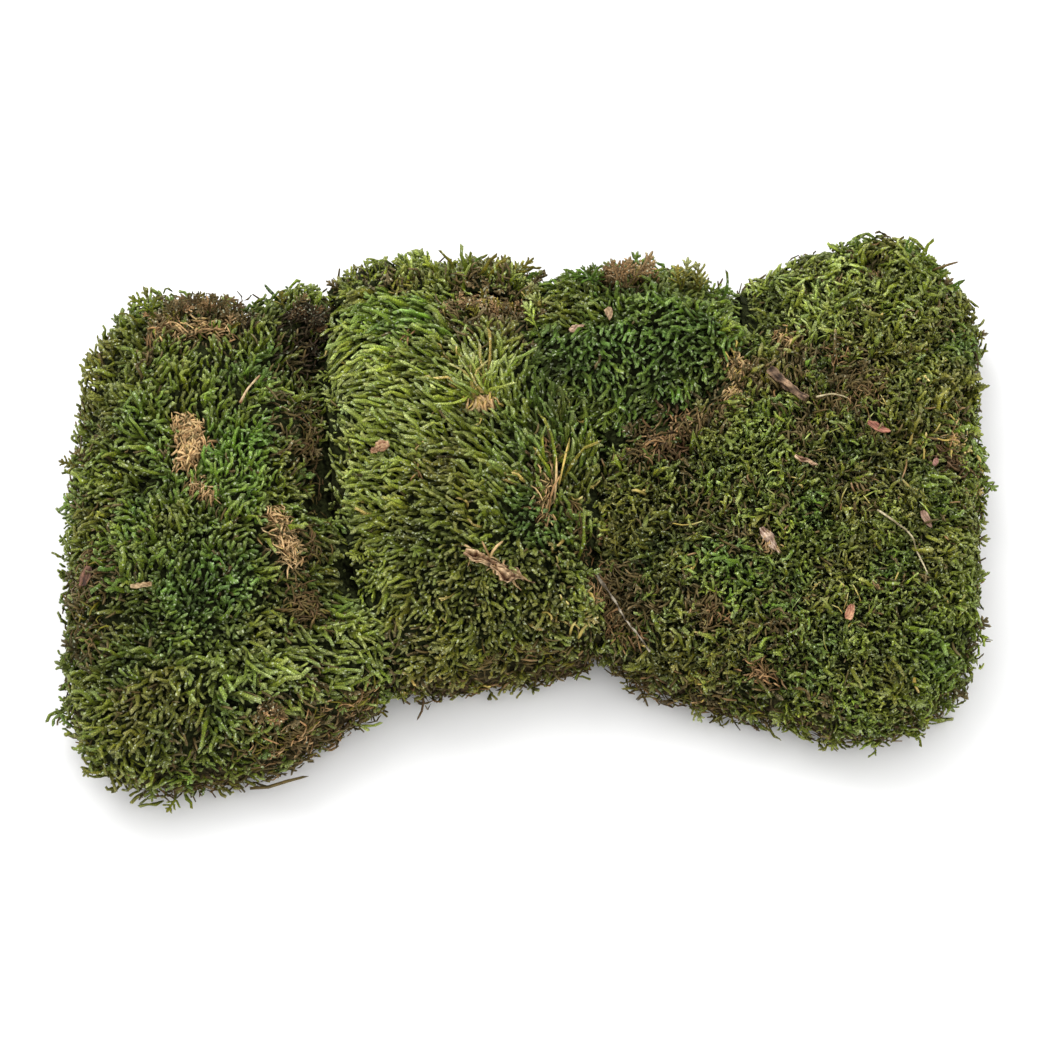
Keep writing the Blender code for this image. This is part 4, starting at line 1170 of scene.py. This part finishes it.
class MOSS_OT_stage(bpy.types.Operator):
    """Pale floor, soft studio light, and the camera at the photograph's angle"""
    bl_idname = "moss.stage"
    bl_label = "Stage"

    def execute(self, context):
        settings, scene = context.scene.moss, context.scene
        leave_nothing_selected()
        bpy.ops.mesh.primitive_plane_add(size=6.0, location=(0, 0, FLOOR_LEVEL))
        floor = context.object
        floor.name = "floor"
        material = bpy.data.materials.new("floor_paint")
        material.use_nodes = True
        set_inputs(material.node_tree, material.node_tree.nodes["Principled BSDF"], {
            "Base Color": (*settings.floor_colour, 1), "Roughness": 0.8})
        floor.data.materials.append(material)
        scene.world = bpy.data.worlds.new("daylight")
        scene.world.use_nodes = True
        set_inputs(scene.world.node_tree, scene.world.node_tree.nodes["Background"], {
            "Color": (1.0, 1.0, 1.0, 1), "Strength": settings.daylight})
        scene.view_settings.view_transform = "Standard"
        lamps = (("key_light", (-0.55, 0.75, 1.15), 1.0, settings.key_light),
                 ("fill_light", (0.7, -0.9, 1.2), 1.2, settings.key_light * 0.25))
        for name, place, size, power in lamps:
            bpy.ops.object.light_add(type="AREA", location=place)
            lamp = context.object
            lamp.name = name
            lamp.data.size = size
            lamp.data.energy = power
            lamp.rotation_euler = (Vector((0, 0, 0.03)) - Vector(place)).to_track_quat("-Z", "Y").to_euler()
        off = Vector((0, -math.cos(CAMERA_ANGLE), math.sin(CAMERA_ANGLE))) * CAMERA_DISTANCE
        bpy.ops.object.camera_add(location=CAMERA_AIM + off, rotation=(math.radians(90) - CAMERA_ANGLE, 0, 0))
        context.object.data.lens = CAMERA_LENS
        context.object.data.sensor_width = 36
        scene.camera = context.object
        return {"FINISHED"}


class MOSS_OT_cores(bpy.types.Operator):
    """The brown heart of each sod, under its living shoots"""
    bl_idname = "moss.cores"
    bl_label = "Thatch cores"

    def execute(self, context):
        settings = context.scene.moss
        material = thatch_material()
        for name, sod in SODS.items():
            skin, others = skins()[name], other_sods(name)
            swells = np.minimum(lumps(skin.points, sod), 3.5)
            points = skin.points.copy()
            for i, (p, n, swell) in enumerate(zip(skin.points, skin.normals, swells)):
                far = skin.tree.ray_cast(Vector(p) - Vector(n) * 0.0003, -Vector(n))[3]
                depth = settings.core_depth * (0.78 if n[2] < 0.6 else 1.0) - swell * MM
                depth = min(depth, 0.3 * far if far else 0.001)
                if n[2] < 0.5 and others.ray_cast(Vector(p) + Vector(n) * 0.0001, Vector(n), 0.004)[0]:
                    depth = 0.0001
                points[i] = p - n * depth
            keep_above(points, 0.0)
            points[skin.points[:, 2] < 0.0004, 2] = 0.0
            low = np.clip((30 * MM - skin.points[:, 2]) / (16 * MM), 0, 1)
            torn = (steepness(skin.normals, 0.3, 0.6) * low)[:, None]
            # Painted shade green on the heart's top, and the brown of torn roots low on its walls.
            paint = mixed(np.array(settings.shaded_core_green), np.array(settings.core_brown), torn)
            core = new_piece(f"{name}_thatch", points, skin.faces, material, paint)
            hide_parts(sod["node"])
            with editing(core):
                bpy.ops.mesh.subdivide(number_cuts=1, smoothness=0.0, fractal=0.0)
            bpy.ops.object.modifier_add(type="TRIANGULATE")
            bpy.ops.object.modifier_apply(modifier=core.modifiers[0].name)
            write_all(core.data.polygons, "use_smooth", np.ones(len(core.data.polygons)), bool)
        return {"FINISHED"}


class MOSS_OT_shoots(bpy.types.Operator):
    """The living shoots of every sod, combed as they lie in the photograph"""
    bl_idname = "moss.shoots"
    bl_label = "Green shoots"

    def execute(self, context):
        settings = context.scene.moss
        for name, sod in SODS.items():
            *sown, dead = sow(name)
            points, normals, colours, shades = (each[~dead] for each in sown)
            rng = np.random.default_rng(sod["seed"] + 100)
            count = len(points)
            way, along, length = tip_directions(points, normals, sod, sod["sway"], rng)
            steep = steepness(normals, 0.5, 0.5)
            rise = rng.uniform(-3.8, 1.6, count) + 1.0 * clouds(points, 6, sod["seed"])
            rise = rise + lumps(points, sod) - under_beds(points)
            stray = rng.random(count) < 0.09 + 0.04 * steep
            rise = (rise + 1.0 * steep + stray * rng.uniform(0.5, 3.5, count)) * MM
            length = length * rng.uniform(0.75, 1.25, count) * (1 - 0.2 * steep) * (1 + 0.5 * stray)
            behind = points - along * length[:, None] * 0.4
            close = np.minimum(litter_distance(points), litter_distance(behind))
            rise = np.where(close < LITTER_ROOM, np.minimum(rise, -1.6 * MM), rise)
            flow = sod["flow"]
            root_way = unit(way * flow + normals * (1.1 - flow) + rng.normal(0, 0.15, (count, 3)))
            runs = grow_runs(points + normals * rise[:, None], way, root_way, length, rng, sod["curl"])
            widths = sod["width"] * MM / 2 * settings.shoot_size * rng.uniform(0.78, 1.2, count)
            widths = widths * (1 - 0.15 * steep)
            widths = np.where(np.isin(colours, list(DEAD_SHARE)), widths * 0.75, widths)
            # Painted shade: shoots that start deeper are darker and higher ones paler, partly as real older
            # growth.
            dark = sod.get("depth", 0.11) * np.clip(rise / MM + 1.1, -4, 2.5)
            tone = sod["tone"] * shade_at(points) * np.exp(0.14 * clouds(points, 8, sod["seed"] + 5) + dark)
            fine = sod["shoot"] == "fine"
            usual, power = (7 * MM, 0.8) if fine else (10 * MM, 0.4)
            widths = widths * np.clip(length / usual, 0.75, 1.6) ** power
            forked = (rng.random(count) < sod["forks"]) & (close > LITTER_ROOM_FORKED)
            for kind, shape, some in (("shoots", sod["shoot"], ~forked),
                                      ("forked_shoots", "sprig" if fine else "forked", forked)):
                if some.any():
                    grow_pieces(name, kind, runs.only(some), shape, widths[some], shades[some], tone[some],
                                rng, "moss_" + sod["shoot"], sod.get("root", 0.4))
        return {"FINISHED"}


class MOSS_OT_stems(bpy.types.Operator):
    """Dead bare stems: the tan, rusty and brown patches, and the curls between the green"""
    bl_idname = "moss.stems"
    bl_label = "Dead stems"

    def execute(self, context):
        for name, sod in SODS.items():
            *sown, dead = sow(name)
            if not dead.any():
                continue
            sown = [each[dead] for each in sown]
            rng = np.random.default_rng(sod["seed"] + 200)
            crowd = point_tree(sown[0])
            many = [min(2, max(1, len(crowd.find_range(p, CROWD_REACH)) // 4)) for p in sown[0]]
            points, normals, colours, shades = (np.repeat(each, many, axis=0) for each in sown)
            count = len(points)
            points = points + rng.normal(0, 0.8, (count, 3)) * MM
            way, along, _ = tip_directions(points, normals, sod, 55, rng)
            turn = rng.normal(0, 0.7, (count, 3))
            way = unit(way + turn - normals * (turn * normals).sum(1, keepdims=True) * 0.7)
            rooted = along * rng.uniform(-0.4, 0.9, (count, 1)) + normals * 0.5
            root_way = unit(rooted + rng.normal(0, 0.4, (count, 3)))
            length = rng.uniform(4, 9, count) * MM
            lowered = rng.uniform(-2.4, 0.6, count) + lumps(points, sod) * 0.8
            tips = points + normals * lowered[:, None] * MM
            runs = grow_runs(tips, way, root_way, length, rng, 0.5)
            thick, thin = rng.uniform(0.4, 0.75, count), rng.uniform(0.3, 0.6, count)
            widths = np.where(np.isin(colours, ["tan", "straw"]), thick, thin) * MM
            grow_pieces(name, "dead_stems", runs, "bare", widths, shades, 1.0, rng)
        return {"FINISHED"}


class MOSS_OT_beds(bpy.types.Operator):
    """Beds of dead fibres along torn edges, lacy dead fronds, and fans of long shoots"""
    bl_idname = "moss.beds"
    bl_label = "Dead beds and fans"

    def execute(self, context):
        grown = {}
        for number, bed in enumerate(BEDS):
            rng = np.random.default_rng(700 + number)
            points, normals, turns = self.places(bed, rng)
            count = bed.count
            turn = np.radians(turns + rng.normal(0, bed.spread, count))
            along = unit(square_to(normals, level_ways(turn)))
            rise = np.radians(bed.lift + rng.normal(0, 10, count))[:, None]
            way = along * np.cos(rise) + normals * np.sin(rise)
            length = rng.uniform(*bed.lengths, count) * MM
            rooted = along * (0.9 if bed.fan else 0.2) + normals * 0.7
            root_way = unit(rooted + rng.normal(0, 0.2, (count, 3)))
            rise = lumps(points, SODS[bed.sod]) * 0.7 + rng.uniform(-1.7, 0.9, count)
            tips, side = points + normals * rise[:, None] * MM, None
            if bed.kind == "frond":
                tips = tips + way * length[:, None] * 0.45
                side = unit(np.cross(way, UP) + rng.normal(0, 0.3, (count, 3)))
            runs = grow_runs(tips, way, root_way, length, rng, 0.7 if bed.fan else 0.5, side)
            if bed.fan:
                runs.line[:] += (points - normals * 1.5 * MM - runs.line[:, 0])[:, None]
                keep_above(runs.line, LEAST_LINE_HEIGHT)
            pairs = np.array([colour_pair(words) for words in bed.colours.split(", ")])
            shades = pairs[rng.integers(len(pairs), size=count)]
            tone = np.full(count, 1.25 if bed.fan else 1.08)
            widths = rng.uniform(*bed.radii, count) * MM
            grown.setdefault((bed.sod, bed.kind), []).append((*runs, widths, shades, tone))
        for (name, kind), parts in grown.items():
            *runs, widths, shades, tone = (np.concatenate(each) for each in zip(*parts))
            grow_pieces(name, "bed_" + kind, Runs(*runs), kind, widths, shades, tone,
                        np.random.default_rng(799), "dead_stems" if kind == "bare" else "moss_leafy", 0.8)
        return {"FINISHED"}

    @staticmethod
    def places(bed, rng):
        """Random places along a bed's path on the top of the clump, the outward ways there, and headings."""
        corners = np.array(bed.path, float)
        points, normals, turns = [], [], []
        for _ in range(bed.count):
            k = rng.integers(max(len(corners) - 1, 1))
            a, b = corners[k], corners[min(k + 1, len(corners) - 1)]
            x, y = a + (b - a) * rng.random() + rng.normal(0, 0.55 * bed.reach, 2)
            above = Vector((x * MM, y * MM, 0.2))
            hits = [skin.tree.ray_cast(above, Vector((0, 0, -1))) for skin in skins().values()]
            nearest = skins()[bed.sod].tree.find_nearest(Vector((x * MM, y * MM, 0.03)))
            place, normal, *_ = max([hit for hit in hits if hit[0]] or [nearest], key=lambda hit: hit[0].z)
            points.append(place)
            normals.append(normal)
            if bed.heading is None:
                turns.append(math.degrees(math.atan2(b[1] - a[1], b[0] - a[0])) + 180 * rng.integers(2))
            else:
                turns.append(bed.heading)
        return np.array(points), np.array(normals), np.array(turns)


class MOSS_OT_lone(bpy.types.Operator):
    """Stems and fronds that stand out of the clump one by one, at its skyline, at its foot and in its fans"""
    bl_idname = "moss.lone"
    bl_label = "Lone stems and fronds"

    def execute(self, context):
        rng = np.random.default_rng(650)
        for (name, kind), rows in LONE.items():
            line = np.array([even_line(path) for _, _, *path in rows])
            widths = np.array([row[0] for row in rows]) * MM
            shades = np.array([colour_pair(row[1]) for row in rows])
            side = np.cross(line[:, -1] - line[:, 0], (0, -0.5, 0.87))
            side = side + rng.normal(0, 0.1, (len(rows), 3)) * MM
            lengths = np.linalg.norm(np.diff(line, axis=1), axis=2).sum(1)
            runs = runs_along(line, unit(np.gradient(line, axis=1)), unit(side), lengths)
            grow_pieces(name, "lone_" + kind, runs, kind, widths, shades, 1.0, rng,
                        "dead_stems" if kind == "bare" else "moss_leafy", 0.75)
        return {"FINISHED"}


class MOSS_OT_roots(bpy.types.Operator):
    """The mat of torn roots and old stems on the low, undercut walls"""
    bl_idname = "moss.roots"
    bl_label = "Root mat"

    def execute(self, context):
        words = "umber rust, umber umber, rust tan, maroon umber, olive straw, umber olive"
        pairs = np.array([colour_pair(pair) for pair in words.split(", ")])
        for name, sod in SODS.items():
            rng = np.random.default_rng(sod["seed"] + 400)
            points, normals = skins()[name].scatter(rng, 9000, -0.99, 0.3)
            low = (points[:, 2] < 0.026) & (points[:, 2] > 0.0008)
            kept = low & in_the_open(name, points, normals, 0.0002, 0.004)
            points, normals = points[kept], normals[kept]
            kept = keep_apart(points, np.where(normals[:, 2] < -0.3, 1.7, 2.5) * MM)
            points, normals = points[kept], normals[kept]
            count = len(points)
            along = unit(square_to(normals, rng.normal(0, 1, (count, 3)) + np.array((0, 0, -0.3))))
            way = unit(along + normals * rng.normal(0.0, 0.1, (count, 1)))
            tips = points + normals * rng.uniform(-2.2, 0.2, (count, 1)) * MM
            root_way = unit(along + rng.normal(0, 0.5, (count, 3)))
            runs = grow_runs(tips, way, root_way, rng.uniform(4, 8, count) * MM, rng, 0.7)
            widths = rng.uniform(0.3, 0.6, count) * MM
            shades = pairs[rng.integers(len(pairs), size=count)]
            grow_pieces(name, "root_mat", runs, "root", widths, shades, 0.75, rng, root=0.7)
        return {"FINISHED"}


class MOSS_OT_fronds(bpy.types.Operator):
    """Feathery fronds that stick out along the rims of the sods"""
    bl_idname = "moss.fronds"
    bl_label = "Fringe fronds"

    def execute(self, context):
        for name, sod in SODS.items():
            rng = np.random.default_rng(sod["seed"] + 300)
            points, normals = skins()[name].scatter(rng, 1500)
            rim = (normals[:, 2] > -0.1) & (normals[:, 2] < 0.7) & (points[:, 2] > 0.016)
            chosen = np.where(rim & in_the_open(name, points, normals, 0.0, 0.02))[0]
            chosen = chosen[keep_apart(points[chosen], np.full(len(chosen), sod["frond_gap"] * MM))]
            points, normals = points[chosen], normals[chosen]
            count = len(points)
            way = unit(normals * (1, 1, 0.15)) + np.array((0, 0, 0.45)) * rng.uniform(-0.4, 1.3, (count, 1))
            way = unit(way + rng.normal(0, 0.42, (count, 3)))
            side = unit(np.cross(way, UP) + rng.normal(0, 0.3, (count, 3)))
            length = rng.uniform(10, 17, count) * MM
            out = 1.2 + 6 * rng.random((count, 1)) ** 1.6 + 0.8 * lumps(points, sod)[:, None]
            root_way = unit(way + normals * 0.3 + np.array((0, 0, 0.5)))
            runs = grow_runs(points + way * out * MM, way, root_way, length, rng, 0.4, side)
            shades = draw_colours(points, sod, rng)[1]
            widths = rng.uniform(0.8, 1.15, count) * MM
            grow_pieces(name, "fringe_fronds", runs, "frond", widths, shades, 0.9 * shade_at(points), rng,
                        "moss_leafy")
        return {"FINISHED"}


class MOSS_OT_litter(bpy.types.Operator):
    """The leaf scraps, bud scales, stalks, bark and wood chip, creased and torn as dry litter is"""
    bl_idname = "moss.litter"
    bl_label = "Litter"

    def execute(self, context):
        for slot, (look, names) in LITTER.items():
            material = litter_material(slot, *look)
            for number, (name, traits) in enumerate(names.items()):
                points, faces = node_arrays(name)
                piece = new_piece(f"{name}_dressed", points, faces, material, np.ones((len(points), 3)))
                cuts = 3 if name == "leaf_crumpled" else 1 if slot == "dry_stalk" else 2
                with editing(piece):
                    bpy.ops.mesh.subdivide(number_cuts=cuts, smoothness=0.0)
                    bpy.ops.mesh.quads_convert_to_tris()
                crease(piece, name, slot, 900 + number, *traits)
                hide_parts(name)
        return {"FINISHED"}


def crease(piece, name, slot, seed, dark, light, ragged, fold):
    """Tears the edge of a piece of litter, folds and curls it, and paints its folds: painted light on their
    ridges and painted shade in their hollows.
    """
    vertices = piece.data.vertices
    points = read_all(vertices, "co")
    middle = (points.max(0) + points.min(0)) / 2
    if name == "leaf_scrap_tan":
        taper = 0.15 + 0.9 * (points[:, 1] - points[:, 1].min()) / np.ptp(points[:, 1])
        points[:, 0] = middle[0] + (points[:, 0] - middle[0]) * taper
    axes = np.linalg.svd(points - points.mean(0), full_matrices=False)[2]
    if axes[2, 2] < 0:
        axes[2] = -axes[2]
    local = (points - middle) @ axes.T
    half = np.abs(local).max(0)
    u, v = local[:, 0] / half[0], local[:, 1] / half[1]
    rough = clouds(points, 2.0, seed)
    fine = clouds(points, 0.8, seed + 5) * (0.3 if slot == "bud_scale" else 1)
    if slot in ("bark", "dry_stalk"):
        ridge = clouds(np.stack([local[:, 0] * 0.25, local[:, 1], local[:, 2]], 1), 0.7, seed + 1)
        points = points + read_all(vertices, "normal") * (ridge * fold * MM * 0.5)[:, None]
        # Raised ridges are painted paler and grooves darker: painted light and shade.
        tone = np.clip(0.45 + 0.4 * ridge + 0.2 * rough + 0.15 * fine, 0, 1.2)
    else:
        side = clouds(np.stack([local[:, 0], np.sign(v) * 0.01, np.zeros(len(v))], 1), 2.2, seed + 2)
        width = 1 - ragged * np.clip(0.5 + 0.6 * side, 0, 1)
        if name == "leaf_crumpled":
            width *= 0.35 + 0.65 * np.abs(np.sin(3.4 * u + 0.7)) ** 0.8
        local[:, 1] *= width
        waves = np.sin(math.pi * (v * 1.7 + 0.7 * np.sin(2.7 * u + seed)))
        ridges = 1 - np.abs(waves) * 2
        local[:, 1] += 0.25 * ragged * half[1] * fine * np.abs(v)
        local[:, 2] += fold * MM * ((ridges * 0.6 + 0.5 * rough) * (0.4 + 0.6 * (1 - u ** 2)) + 0.22 * fine)
        local[:, 2] += 0.35 * fold * MM * v ** 2 + 0.12 * MM * np.exp(-(v / 0.12) ** 2)
        points = middle + local @ axes
        rim = 0.35 * np.clip(np.abs(v) - 0.75, 0, 1) / 0.25
        # Fold ridges are painted paler and fold hollows darker, as painted light and shade, with random tone
        # and paler rims.
        tone = np.clip(0.52 + 0.35 * ridges + 0.25 * rough + 0.3 * fine + rim, -0.1, 1.3)
    keep_above(points, 0.0005)
    write_all(vertices, "co", points)
    paint = np.clip(mixed(linear(dark), linear(light), tone[:, None]), 0.004, 1)
    paint_points(piece.data.attributes["own_colour"], paint)
    piece.data.update()


class MOSS_PT_panel(bpy.types.Panel):
    bl_idname = "MOSS_PT_panel"
    bl_label = "Moss clump"
    bl_space_type = "VIEW_3D"
    bl_region_type = "UI"
    bl_category = "Moss"

    def draw(self, context):
        for name in MossSettings.__annotations__:
            self.layout.prop(context.scene.moss, name)
        for step in STEPS:
            self.layout.operator(step.bl_idname)


STEPS = (MOSS_OT_stage, MOSS_OT_cores, MOSS_OT_shoots, MOSS_OT_stems, MOSS_OT_beds, MOSS_OT_lone,
         MOSS_OT_roots, MOSS_OT_fronds, MOSS_OT_litter)
CLASSES = (MossSettings, *STEPS, MOSS_PT_panel)


def register():
    for each in CLASSES:
        bpy.utils.register_class(each)
    bpy.types.Scene.moss = bpy.props.PointerProperty(type=MossSettings)


def unregister():
    del bpy.types.Scene.moss
    for each in reversed(CLASSES):
        bpy.utils.unregister_class(each)


def main():
    register()
    bpy.ops.moss.stage()
    bpy.ops.moss.cores()
    bpy.ops.moss.shoots()
    bpy.ops.moss.stems()
    bpy.ops.moss.beds()
    bpy.ops.moss.lone()
    bpy.ops.moss.roots()
    bpy.ops.moss.fronds()
    bpy.ops.moss.litter()


if __name__ == "__main__":
    main()
